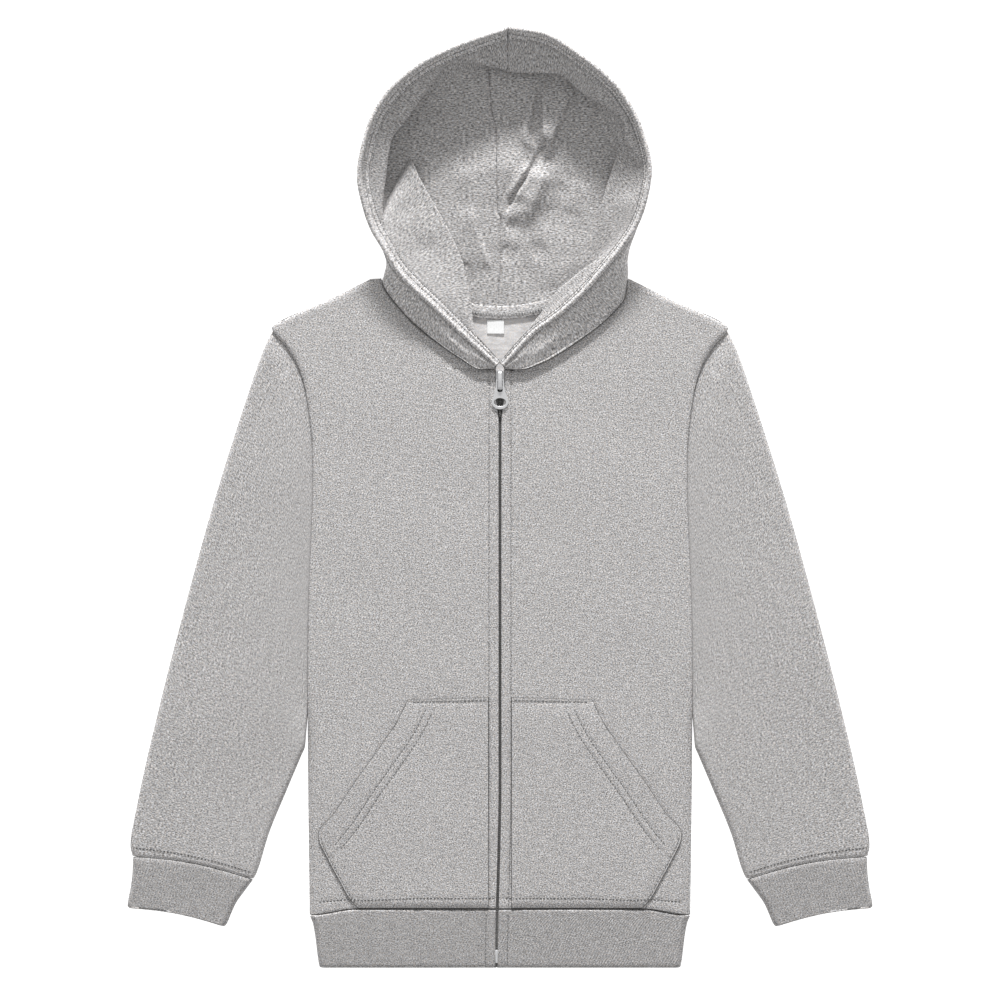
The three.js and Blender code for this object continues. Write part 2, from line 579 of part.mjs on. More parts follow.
function neckTape() {
  const xs = spaced(-NECK_TAPE.halfLength, NECK_TAPE.halfLength, 15);
  const points = (z) => [-NECK_TAPE.below, NECK_TAPE.above].flatMap((offset) => (
    xs.map((x) => new THREE.Vector3(x, backNeck(x) + offset, z))
  ));
  return wall(points(NECK_TAPE.bottom + TAPE_CLOTH), points(NECK_TAPE.bottom), grid(2, xs.length));
}

function box(fromX, toX, fromY, toY, fromZ, toZ) {
  const geometry = new THREE.BoxGeometry(toX - fromX, toY - fromY, toZ - fromZ);
  return geometry.translate((fromX + toX) / 2, (fromY + toY) / 2, (fromZ + toZ) / 2);
}

// A zip tape with the coil as a raised bead along its inner edge
function zipTape(sign) {
  const rows = [ZIP_TAPE.start, 20, 40, 60, 80, 100, 130, 220, 320, ZIP_TAPE.end];
  const top = ZIP_TAPE.bottom + TAPE_CLOTH;
  const section = [
    [ZIP_COIL.from, ZIP_TAPE.bottom], [ZIP_COIL.from, ZIP_COIL.top], [ZIP_COIL.to, ZIP_COIL.top],
    [ZIP_COIL.to, top], [ZIP_TAPE.width, top], [ZIP_TAPE.width, ZIP_TAPE.bottom],
  ];
  const points = rows.flatMap((y) => section.map(([x, z]) => (
    new THREE.Vector3(zipMiddle(y) + sign * x, y, z)
  )));
  const sides = grid(rows.length, section.length, true).flatMap(([a, b, c, d]) => [[a, b, c], [a, c, d]]);
  const last = (rows.length - 1) * section.length;
  const cap = [[0, 2, 1], [0, 3, 2], [0, 5, 3], [3, 5, 4]];
  const ends = [...cap, ...cap.map(([a, b, c]) => [a + last, c + last, b + last])];
  return solid(points, [...sides, ...ends]);
}

function toManifold(geometry) {
  const bare = new THREE.BufferGeometry();
  bare.setAttribute('position', geometry.getAttribute('position'));
  if (geometry.index) bare.setIndex(geometry.index);
  const merged = mergeVertices(bare, 1e-4);
  return new wasm.Manifold(new wasm.Mesh({
    numProp: 3,
    vertProperties: new Float32Array(merged.getAttribute('position').array),
    triVerts: new Uint32Array(merged.index.array),
  }));
}

function fromManifold(made) {
  const { vertProperties, triVerts } = made.getMesh();
  const geometry = new THREE.BufferGeometry();
  geometry.setAttribute('position', new THREE.Float32BufferAttribute(vertProperties, 3));
  geometry.setIndex(Array.from(triVerts));
  geometry.computeVertexNormals();
  return geometry;
}

// The slider: a plate over the zip, a plate under it, the post between them and the bridge on top
function slider() {
  const s = SLIDER;
  const middle = PULL.pivotY;
  const side = new THREE.Shape();
  side.moveTo(-s.bridgeReach, s.plateTop - 0.2);
  side.lineTo(-s.bridgeReach, s.eyeTop - 0.4);
  side.lineTo(-s.bridgeReach + 1.6, s.bridgeTop);
  side.lineTo(s.bridgeReach - 1.6, s.bridgeTop);
  side.lineTo(s.bridgeReach, s.eyeTop - 0.4);
  side.lineTo(s.bridgeReach, s.plateTop - 0.2);
  side.lineTo(s.bridgeReach - 1.1, s.plateTop - 0.2);
  side.lineTo(s.bridgeReach - 1.1, s.eyeTop - 0.6);
  side.lineTo(s.bridgeReach - 1.9, s.eyeTop);
  side.lineTo(-s.bridgeReach + 1.9, s.eyeTop);
  side.lineTo(-s.bridgeReach + 1.1, s.eyeTop - 0.6);
  side.lineTo(-s.bridgeReach + 1.1, s.plateTop - 0.2);
  side.closePath();
  const bridge = new THREE.ExtrudeGeometry(side, { depth: 2 * s.bridgeHalfWidth, bevelEnabled: false });
  // The drawing's x becomes y, its y becomes z and its depth becomes x.
  bridge.applyMatrix4(new THREE.Matrix4().set(0, 0, 1, -s.bridgeHalfWidth, 1, 0, 0, middle, 0, 1, 0, 0, 0, 0, 0, 1));
  const plate = box(-s.plateHalfWidth, s.plateHalfWidth, s.plateFrom, s.plateTo, s.plateBottom, s.plateTop);
  const post = box(
    -s.postHalfWidth, s.postHalfWidth, s.postFrom, s.plateTo, s.baseTop - 0.2, s.plateBottom + 0.2,
  );
  const base = box(-s.baseHalfWidth, s.baseHalfWidth, s.plateFrom, s.baseTo, s.baseBottom, s.baseTop);
  return fromManifold([bridge, post, base].map(toManifold).reduce((a, b) => a.add(b), toManifold(plate)));
}

// The pull: a bar through the slider's bridge, two arms and a ring, flat on the zip.
// It is drawn with its bar at 0 and its ring below, and its y becomes the part's y.
function pull() {
  const p = PULL;
  const outline = new THREE.Shape();
  outline.moveTo(-p.armOuter, p.bar);
  outline.lineTo(-p.armOuter, -p.slot + 2.4);
  outline.lineTo(-3.2, -p.slot - 0.35);
  outline.lineTo(-4.3, -p.ringFrom + 0.4);
  outline.quadraticCurveTo(-p.ringHalfWidth, -p.ringFrom - 1.4, -p.ringHalfWidth, -p.ringMiddle);
  outline.quadraticCurveTo(-p.ringHalfWidth, -p.ringTo, 0, -p.ringTo);
  outline.quadraticCurveTo(p.ringHalfWidth, -p.ringTo, p.ringHalfWidth, -p.ringMiddle);
  outline.quadraticCurveTo(p.ringHalfWidth, -p.ringFrom - 1.4, 4.3, -p.ringFrom + 0.4);
  outline.lineTo(3.2, -p.slot - 0.35);
  outline.lineTo(p.armOuter, -p.slot + 2.4);
  outline.lineTo(p.armOuter, p.bar);
  outline.closePath();
  const slot = new THREE.Path();
  slot.moveTo(-p.armInner, -p.bar);
  slot.lineTo(p.armInner, -p.bar);
  slot.lineTo(p.armInner, -p.slot);
  slot.lineTo(-p.armInner, -p.slot);
  slot.closePath();
  const hole = new THREE.Path();
  const turn = range(20).map((i) => (i / 20) * 2 * Math.PI);
  hole.setFromPoints(turn.map((angle) => new THREE.Vector2(
    p.holeHalfWidth * Math.cos(angle), -p.ringMiddle + p.holeHalfHeight * Math.sin(angle),
  )));
  hole.closePath();
  outline.holes.push(slot, hole);
  const flat = new THREE.ExtrudeGeometry(outline, { depth: p.thick, bevelEnabled: false, curveSegments: 8 });
  return flat.translate(0, p.pivotY, p.pivotZ - p.thick / 2);
}

function label() {
  const l = SIZE_LABEL;
  return box(l.left, l.right, l.bottom, l.top, l.under, l.under + l.thick);
}

function zipBox() {
  const b = ZIP_BOX;
  const middle = zipMiddle((b.from + b.to) / 2);
  return box(middle - b.halfWidth, middle + b.halfWidth, b.from, b.to, b.bottom, b.top);
}

const hoodie = new THREE.Group();
hoodie.position.y = -OVERALL_LENGTH / 2;
piece('back_panel', back(), MATERIALS.body, hoodie);
piece('waistband', waistband(), MATERIALS.rib, hoodie);
for (const side of ['left', 'right']) {
  const sign = side === 'left' ? -1 : 1;
  piece(`front_${side}`, front(side), MATERIALS.body, hoodie);
  piece(`pocket_${side}`, pocket(side), MATERIALS.body, hoodie);
  piece(`sleeve_${side}`, sleeve(sign), MATERIALS.body, hoodie);
  piece(`cuff_${side}`, cuff(sign), MATERIALS.rib, hoodie);
  piece(`hood_outer_${side}`, hoodOuter(side), MATERIALS.body, hoodie);
  piece(`hood_facing_${side}`, hoodFacing(side), MATERIALS.body, hoodie);
  piece(`hood_lining_${side}`, hoodLining(side), MATERIALS.lining, hoodie);
  piece(`zip_tape_${side}`, zipTape(sign), MATERIALS.tape, hoodie);
}
piece('neck_tape', neckTape(), MATERIALS.tape, hoodie);
piece('size_label', label(), MATERIALS.label, hoodie);
piece('zip_box', zipBox(), MATERIALS.metal, hoodie);
piece('zip_slider', slider(), MATERIALS.metal, hoodie);
piece('zip_pull', pull(), MATERIALS.metal, hoodie);

export default hoodie;
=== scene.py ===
"""The looks of a child's zip-up hooded sweatshirt laid flat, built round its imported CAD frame.

Sizes are millimetres until a mesh is made. As in the CAD source, y is measured from the hem's edge
and x from the zip while the pieces are shaped; place() then moves them to the frame's origin.
"""

import math

import bpy
import numpy as np
from mathutils import Matrix


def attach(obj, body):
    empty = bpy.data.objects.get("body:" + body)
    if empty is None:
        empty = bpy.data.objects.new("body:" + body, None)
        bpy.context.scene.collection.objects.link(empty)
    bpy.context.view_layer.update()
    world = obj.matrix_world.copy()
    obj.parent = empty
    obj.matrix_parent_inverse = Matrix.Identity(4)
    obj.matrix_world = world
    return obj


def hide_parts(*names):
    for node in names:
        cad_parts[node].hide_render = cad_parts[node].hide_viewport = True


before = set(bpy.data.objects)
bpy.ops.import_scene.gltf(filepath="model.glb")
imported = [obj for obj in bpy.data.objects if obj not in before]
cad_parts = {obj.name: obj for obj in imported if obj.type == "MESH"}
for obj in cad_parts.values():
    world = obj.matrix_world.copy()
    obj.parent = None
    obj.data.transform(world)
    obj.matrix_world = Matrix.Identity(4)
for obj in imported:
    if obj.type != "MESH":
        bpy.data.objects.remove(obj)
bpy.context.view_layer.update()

MM = 0.001
HEM_TO_ORIGIN = 324.45

# Cloth
FLEECE = 2.0
SLEEVE_CLOTH = 1.7
RIB = 2.6
HOOD_CLOTH = 1.3
LINING_CLOTH = 1.1

# The body
BODY_TOP = 7.5
SIDE_ROUND = 9.0
LAPPED_ROUND = 5.0
SHOULDER_ROUND = 1.6
SHOULDER_EDGE = 5.4
SIDE_EDGE = 2.3
LAPPED_EDGE = 6.1
TUCK = 2.5
ARMHOLE_TOP = 441.5
UNDERARM = 276.0
BODY_BOTTOM = 40.7
SHOULDER = {"tip_x": 155.0, "tip_y": 444.5, "neck_x": 88.5, "neck_y": 476.0}
ZIP_TOP = 413.0
BACK_NECK = {"low": 449.2, "rise": 26.8, "half_width": 84.0, "power": 1.8}

# The zip
SLIT = 0.5
SLIDER_SLIT = 2.7
ZIP_DRIFT = 2.4
DRIFT_TO = 130.0
PLACKET_STITCH = 7.6
SLIDER_FROM = 398.6

POCKET = {"inner": 7.8, "gap": 0.1, "cloth": 0.9, "mouth_lift": 0.6, "top_rise": 1.9}
HEM_TOP = 8.0


def table(names, *rows):
    """A short table as one array for each named column."""
    return dict(zip(names.split(), np.array(rows, float).T))


# Half width of the body at a height: the side, the armhole and then the shoulder line
BODY_EDGE = table(
    "y x over_sleeve",
    (41, 131.6, 0),
    (120, 132.6, 0),
    (150, 132.8, 0),
    (196, 132.8, 1),
    (254, 132.2, 1),
    (276, 131.4, 1),
    (309, 130, 1),
    (333, 129.2, 1),
    (357, 129.4, 1),
    (378, 131.1, 1),
    (390, 132.8, 1),
    (402, 135, 1),
    (417, 140.5, 1),
    (428.5, 147.5, 1),
    (439, 156.5, 1),
    (441.5, 157.8, 0.4),
    (444.5, 155, 0),
    (460, 121.5, 0),
    (476, 88.5, 0),
)

# Front neckline: its distance from the zip on each side, at a height
FRONT_NECK = table(
    "y left right",
    (413.6, 15, 18.5),
    (419.3, 24, 31),
    (430.8, 41, 50),
    (443.3, 57.3, 66.8),
    (453, 66, 78),
    (463.5, 75.4, 84.5),
    (476, 82.2, 86),
)

# Pocket halves: the outer edge at a height, from the hem seam up to the mouth's top corner
POCKET_EDGE = table(
    "y x",
    (41.2, 98.2),
    (49.2, 104.9),
    (61.4, 111.6),
    (74.5, 118.7),
    (91, 125.4),
    (94, 125.2),
    (107, 114.6),
    (128.3, 100.4),
    (153.6, 82.4),
    (171.8, 70.4),
    (185.3, 63.9),
)
POCKET_BOTTOM = 41.2
POCKET_TOP = 185.3
POCKET_MOUTH = ((125.2, 94), (114.6, 107), (100.4, 128.3), (82.4, 153.6), (70.4, 171.8), (63.9, 185.3))
MOUTH_STITCHES = (14.3, 19.2)

# Hem rib: half width at a height
HEM_EDGE = table("y x", (0, 124.4), (2, 125), (34.5, 129.3), (40.4, 131.5))

# Topstitch above the hem seam: its height at a distance from the zip
HEM_STITCH = table("x y", (0, 48.0), (55, 48.1), (93, 46.9), (103.5, 47.3), (114.5, 46.4), (126, 45.5))

# Sleeve: its outer fold from the shoulder tip to the cuff seam, and its inner fold below the body
SLEEVE_OUTER = table(
    "at x y",
    (0, 157.3, 441),
    (0.03, 162.3, 431.5),
    (0.15, 177, 389),
    (0.33, 198.4, 320),
    (0.52, 217.4, 251),
    (0.71, 235, 182.2),
    (0.9, 250.6, 113.2),
    (0.975, 255.4, 84.5),
    (1, 253.8, 77),
)
SLEEVE_INNER = table(
    "at x y",
    (0, 130.2, 276),
    (0.28, 131.3, 215),
    (0.4, 131.7, 188),
    (0.5, 133.9, 162),
    (0.55, 134.6, 153),
    (0.6, 137.2, 146.5),
    (0.72, 147.5, 122),
    (0.85, 159.6, 92.5),
    (0.97, 167.6, 66.5),
    (1, 170.2, 61.3),
)
SLEEVE_TOP = 7.0
SLEEVE_LAPPED_TOP = 5.3
LAP_FADE = 18.0
ARMHOLE_GAP = 1.2
CUFF_SEAM_BOW = 3.3
CUFF_TOP = 7.6
CUFF_STITCH_AT = 0.979
CUFF = table(
    "share outer_x outer_y inner_x inner_y bow",
    (0, 253.4, 76.6, 170.4, 60.9, 3.3),
    (0.3, 253.9, 65.5, 177.2, 51.8, 2.4),
    (0.55, 255.2, 55.5, 182.4, 44.4, 2.2),
    (0.8, 256.8, 47.5, 186, 36.5, 2.2),
    (0.95, 257.4, 42.8, 188.6, 30.4, 2.3),
    (1, 256.2, 41.1, 190.4, 28.3, 2.5),
)

# Hood: the rim round the face and the foot of the wall under it, from the zip to the top of the head
HOOD_COLUMNS = "at rim_x rim_y rim_z foot_x foot_y foot_z"
HOOD = {
    "left": table(
        HOOD_COLUMNS,
        (0, 2.8, 414.8, 11.3, 2.9, 412.9, 9.5),
        (1, 14.5, 425, 12.2, 14, 412.9, 9.5),
        (2, 26.9, 436.1, 13.5, 27.5, 420.2, 9.5),
        (3, 47.1, 455.4, 16, 51, 437.2, 9.5),
        (4, 61.1, 468.1, 18, 68, 452.8, 9.5),
        (5, 73.4, 481.8, 20, 81.5, 473, 9.5),
        (6, 82.2, 496.9, 22, 74.5, 484.5, 7.5),
        (7, 89.3, 509, 23, 71, 491, 0.4),
        (8, 94.4, 523, 25, 72, 511, 0),
        (9, 98.6, 546.5, 27, 78, 541, 0),
        (10, 92.1, 578.9, 28, 73, 570, 0),
        (11, 79.5, 602.4, 28.5, 63, 587, 0),
        (12, 54.1, 624.5, 28, 43, 604.5, 0),
        (13, 22, 640.4, 26.5, 18, 616, 0),
        (14, 0, 648.4, 25, 0, 620, 0),
    ),
    "right": table(
        HOOD_COLUMNS,
        (0, 2.6, 414.8, 11.3, 2.9, 412.9, 9.5),
        (1, 13, 425.8, 12.2, 15, 412.7, 9.5),
        (2, 24.6, 437.5, 13.5, 30, 417.6, 9.5),
        (3, 41.7, 449.9, 16, 54, 432.2, 9.5),
        (4, 59.1, 465.8, 18, 76, 449.5, 9.5),
        (5, 73.1, 481.6, 20, 87, 464, 9.5),
        (6, 87.6, 499.7, 22, 88.5, 479.8, 7.5),
        (7, 95.5, 512.4, 23, 86, 489, 0.4),
        (8, 100, 524, 25, 82, 511, 0),
        (9, 104.6, 549.6, 27, 82, 543, 0),
        (10, 98.8, 576.5, 28, 77.5, 568, 0),
        (11, 83.5, 605.1, 28.5, 66, 589, 0),
        (12, 56, 629.3, 28, 44, 607, 0),
        (13, 27, 645, 26.5, 20, 618, 0),
        (14, 0, 648.9, 25, 0, 620, 0),
    ),
}
HOOD_NECK_ROW = 7.0
HOOD_TOP_ROW = 14.0
HOOD_SEAM = {"from": 450.0, "to": 598.0}

# The turned edge of the hood round the face: how wide it is on the inside
RIM_HEM = {
    "left": table("at width", (0, 4.6), (1, 6.3), (2, 7.6), (4, 8.7), (10, 9), (12, 8.6), (14, 8.6)),
    "right": table("at width", (0, 4.2), (1, 4.8), (2, 5.2), (8, 5.4), (10, 5.8), (12, 7.6), (14, 8.6)),
}
RIM_HEM_STITCHES = (0.42, 0.84)
RIM_RADIUS = 1.85

# The band inside the hood's edge: where its free edge lies, across from a place on the rim
FACING_EDGE = {
    "left": table(
        "at x y",
        (0, 3.4, 418.5),
        (1, 9, 428),
        (2, 19, 439),
        (3, 36, 456),
        (4, 50.6, 471),
        (5, 61, 482.5),
        (6, 70, 495),
        (7, 76, 508),
        (8, 80.5, 522),
        (8.5, 80, 534),
        (9, 78.7, 543.7),
        (9.5, 77, 558),
        (10, 74.5, 571),
        (10.5, 67, 581.5),
        (11, 58, 594),
        (11.5, 49, 606.5),
        (12, 41, 617.5),
        (12.3, 37, 621.6),
        (12.6, 30, 623.4),
        (13, 20, 623.8),
        (13.5, 6, 621.3),
        (14, -5.4, 619.2),
    ),
    "right": table(
        "at x y",
        (0, 3.2, 418.5),
        (0.5, 5, 426),
        (1, 9.5, 431),
        (1.5, 15, 436.5),
        (2, 21, 443.5),
        (2.5, 27.5, 451),
        (3, 33.8, 459.5),
        (3.5, 39.3, 467),
        (4, 47, 474),
        (4.5, 55, 480.5),
        (5, 64, 487),
        (5.5, 73.5, 494.2),
        (6, 82.3, 502.6),
        (7, 91, 515.5),
        (8, 95, 526.5),
        (8.6, 98.3, 540),
        (9, 98.8, 550.5),
        (9.3, 96, 557),
        (9.6, 91, 564),
        (10, 86.2, 572.5),
        (10.3, 85, 581.7),
        (10.6, 78, 589.9),
        (11, 68, 596.4),
        (11.5, 58, 602.4),
        (12, 49, 610),
        (12.2, 45, 614.6),
        (12.5, 38, 616.6),
        (13, 25, 617.3),
        (13.4, 15, 617.3),
        (14, 5.4, 618.4),
    ),
}
TOP_CENTRE = 5.4

# The side of the hood that folds over the lining on each side. along and out say where it comes from
# under the rim's hem, and the edge is its free fold.
SIDE_FOLD_COLUMNS = "at along out drop edge_x edge_y edge_z"
SIDE_FOLD = {
    "left": table(
        SIDE_FOLD_COLUMNS,
        (0, 1.9, 4.5, 0, 17.5, 436, 11.6),
        (0.08, 2.5, 5.5, 0, 19.6, 446, 10.5),
        (0.2, 3.3, 6.5, 0, 21.5, 464, 9),
        (0.35, 4.2, 7, 0, 26, 484, 8),
        (0.5, 5.1, 7, 0, 35.9, 507.6, 7.6),
        (0.62, 5.8, 7, 0, 42.8, 520.3, 7.6),
        (0.74, 6.4, 7, 0.5, 49.1, 531.3, 7.8),
        (0.86, 6.9, 7.5, 1, 56.5, 545, 8.4),
        (0.93, 7.2, 8, 3, 60.2, 553.5, 7.6),
        (1, 7.5, 9, 8, 64, 560, 1.5),
    ),
    "right": table(
        SIDE_FOLD_COLUMNS,
        (0, 5.6, 4, 2.4, 58, 476, 2.4),
        (0.12, 6.1, 3.8, 2.2, 63.5, 489, 3.0),
        (0.25, 6.7, 3.5, 1.6, 67.2, 502, 4.0),
        (0.4, 7.3, 3.5, 0.6, 69.6, 518, 5.8),
        (0.55, 7.9, 3.5, 0, 74, 537.5, 7.4),
        (0.7, 8.6, 3.5, 0, 78.6, 551, 8.6),
        (0.87, 9.2, 4.5, 1, 83.5, 568.6, 9.2),
        (1, 9.6, 6, 7, 87, 576, 5),
    ),
}

# The lining's edge under the band, and the lines that its folds run along
LINING_EDGE = table(
    "y left right",
    (450, 60, 60),
    (470, 74, 76),
    (490, 82, 86),
    (509, 85, 90),
    (523, 90, 95),
    (546, 94, 100),
    (562, 92, 98),
    (578.9, 87, 94),
    (590, 82, 88),
    (602, 74, 80),
    (615, 62, 67),
    (628, 43, 48),
)
CENTRE_SEAM = table(
    "y x",
    (450, -1.0),
    (462.3, -1.1),
    (486.5, 0.5),
    (518.2, 0.5),
    (521.6, -1.6),
    (537.5, -2.1),
    (580.3, -2.8),
    (590.6, -5.5),
    (605, -6.9),
    (628, -8.3),
)
GAP_LINE = table(
    "y x",
    (450, 6.2),
    (502.3, 6.2),
    (523, 6.0),
    (534.1, 9.9),
    (545.8, 17.9),
    (557.5, 24.8),
    (567.2, 29.0),
    (581.7, 29.0),
    (595.5, 28.3),
    (605.1, 26.2),
    (628, 26.9),
)

# Folds of the lining: a path, a height, a width on its left side and a width on its right side
LINING_FOLDS = (
    {"path": ((-34, 540), (-14, 549), (4, 552), (17, 546)), "height": 2.0, "left": 12, "right": 24},
    {"path": ((21, 556), (14, 545), (7, 530)), "height": 3.0, "left": 14, "right": 3.0},
    {"path": ((33, 556), (28, 540), (19, 522), (11, 510)), "height": 3.6, "left": 6, "right": 8},
    {"path": ((28, 612), (29.5, 595), (30, 566)), "height": 4.2, "left": 6, "right": 1.1},
    {"path": ((24.8, 610), (21.9, 590.6), (18.6, 575.5), (23.6, 563)),
     "height": 3.4, "left": 1.1, "right": 5},
    {"path": ((53, 611), (45, 595.5), (39, 579.6), (32, 560)), "height": 4.4, "left": 1.8, "right": 9},
    {"path": ((67, 598), (63, 584), (60, 574)), "height": 1.8, "left": 2.2, "right": 7},
    {"path": ((-20.3, 528), (-15.2, 505.1), (-5.5, 481)), "height": 1.9, "left": 1.4, "right": 8},
    {"path": ((-61.4, 585), (-44.2, 594), (-22.4, 598)), "height": -1.6, "left": 5, "right": 5},
    {"path": ((-48.3, 575), (-50.5, 552)), "height": 1.2, "left": 2.4, "right": 7},
    {"path": ((-28, 486), (-21, 470)), "height": -1.8, "left": 5, "right": 5},
    {"path": ((19, 523), (12, 515), (4, 509)), "height": -1.5, "left": 7, "right": 4},
    {"path": ((0, 496), (12, 490)), "height": -1.6, "left": 4, "right": 3.5},
    {"path": ((22, 492), (32, 498)), "height": -1.3, "left": 6, "right": 6},
    {"path": ((22, 460), (42, 468)), "height": -2.2, "left": 5, "right": 7},
    {"path": ((44, 545), (42, 528), (34, 508)), "height": -1.2, "left": 6, "right": 7},
    {"path": ((52, 545), (46, 520)), "height": 1.2, "left": 12, "right": 12},
)

NECK_TAPE = {"half_length": 58.0, "below": 1.5, "above": 7.5, "bottom": 2.6, "cloth": 0.7}
SIZE_LABEL = {"left": -8.9, "right": 2.8, "top": 447.2, "bottom": 437.6, "under": 2.2, "thick": 0.4}

SIDES = (("left", -1.0), ("right", 1.0))


# Numbers


def lerp(a, b, t):
    return a + (b - a) * t


def smoothstep(x, start, end):
    t = np.clip((x - start) / (end - start), 0, 1)
    return t * t * (3 - 2 * t)


def bell(x, width):
    return np.exp(-((x / width) ** 2))


def curve(rows, key, column):
    """A smooth curve through one column of a table that never swings past its rows."""
    xs, ys = rows[key], rows[column]
    slopes = np.diff(ys) / np.diff(xs)
    before, after = slopes[:-1], slopes[1:]
    total = np.where(np.abs(before + after) < 1e-12, 1, before + after)
    inside = np.where(before * after <= 0, 0, 2 * before * after / total)
    tangents = np.concatenate(([slopes[0]], inside, [slopes[-1]]))

    def value(at):
        here = np.clip(np.asarray(at, float), xs[0], xs[-1])
        i = np.clip(np.searchsorted(xs, here) - 1, 0, len(xs) - 2)
        width = xs[i + 1] - xs[i]
        t = (here - xs[i]) / width
        rise = ys[i + 1] - ys[i]
        bend = tangents[i] * (1 - t) - tangents[i + 1] * t
        return ys[i] + rise * t * t * (3 - 2 * t) + width * t * (1 - t) * bend

    return value


def waves(x, y, length, seed):
    """A smooth uneven field from about -1 to 1, with swells about that long."""
    random = np.random.default_rng(seed)
    total = 0
    for _ in range(7):
        turn, phase = random.uniform(0, 2 * math.pi, 2)
        pitch = 2 * math.pi / (length * random.uniform(0.7, 1.6))
        total = total + np.sin((x * math.cos(turn) + y * math.sin(turn)) * pitch + phase)
    return total / 3


def smooth_path(points, step=1.5):
    """Points evenly spaced along a soft curve through the given ones."""
    points = np.asarray(points, float)
    lengths = np.concatenate(([0], np.cumsum(np.linalg.norm(np.diff(points, axis=0), axis=1))))
    at = np.linspace(0, lengths[-1], max(2, int(lengths[-1] / step)) + 1)
    columns = []
    for column in points.T:
        slope = np.gradient(column, lengths)
        i = np.clip(np.searchsorted(lengths, at) - 1, 0, len(lengths) - 2)
        width = lengths[i + 1] - lengths[i]
        t = (at - lengths[i]) / width
        a, b = column[i], column[i + 1]
        value = (
            a * (1 + 2 * t) * (1 - t) ** 2
            + b * t * t * (3 - 2 * t)
            + width * t * (1 - t) * ((1 - t) * slope[i] - t * slope[i + 1])
        )
        columns.append(value)
    return np.stack(columns, axis=1)


def from_path(x, y, path):
    """Distance to a path, positive on its left, and the share of it that the nearest point lies at."""
    best = np.full(np.shape(x), 1e9)
    signed = np.zeros(np.shape(x))
    share = np.zeros(np.shape(x))
    steps = len(path) - 1
    for i in range(steps):
        ax, ay = path[i][:2]
        dx, dy = path[i + 1][0] - ax, path[i + 1][1] - ay
        t = np.clip(((x - ax) * dx + (y - ay) * dy) / (dx * dx + dy * dy), 0, 1)
        away_x, away_y = x - ax - t * dx, y - ay - t * dy
        away = np.hypot(away_x, away_y)
        closer = away < best
        best = np.where(closer, away, best)
        signed = np.where(closer, np.where(dx * away_y - dy * away_x >= 0, away, -away), signed)
        share = np.where(closer, (i + t) / steps, share)
    return signed, share


def skin_normals(skin):
    across = np.gradient(skin, axis=1)
    along = np.gradient(skin, axis=0)
    normal = np.cross(across, along)
    return normal / np.maximum(np.linalg.norm(normal, axis=-1, keepdims=True), 1e-9)


# Meshes


def place(points):
    """Millimetres from the hem and the zip to metres in the frame."""
    moved = np.array(points, float)
    moved[..., 1] -= HEM_TO_ORIGIN
    return moved * MM


def add_mesh(name, points, faces, materials, face_materials=None, cloth=None):
    """An object from points in millimetres. cloth is each face corner's place on the flat cloth."""
    mesh = bpy.data.meshes.new(name)
    mesh.from_pydata(place(points).tolist(), [], faces.tolist())
    mesh.polygons.foreach_set("use_smooth", np.ones(len(faces), bool))
    for material in materials:
        mesh.materials.append(material)
    if face_materials is not None:
        mesh.polygons.foreach_set("material_index", face_materials.astype(np.int32))
    if cloth is not None:
        layer = mesh.uv_layers.new(name="cloth")
        layer.uv.foreach_set("vector", (cloth * MM).astype(np.float32).ravel())
    mesh.update()
    made = bpy.data.objects.new(name, mesh)
    bpy.context.scene.collection.objects.link(made)
    return made


def grid(rows, columns, around=False):
    """Quads over rows of points and the same quads over their places on the cloth."""
    steps = columns if around else columns - 1
    i, j = np.meshgrid(np.arange(rows - 1), np.arange(steps), indexing="ij")
    i, j = i.ravel(), j.ravel()
    after = (j + 1) % columns
    width = columns + 1 if around else columns
    quads = np.stack([i * columns + j, i * columns + after,
                      (i + 1) * columns + after, (i + 1) * columns + j], 1)
    flat = np.stack([i * width + j, i * width + j + 1, (i + 1) * width + j + 1, (i + 1) * width + j], 1)
    return quads, flat


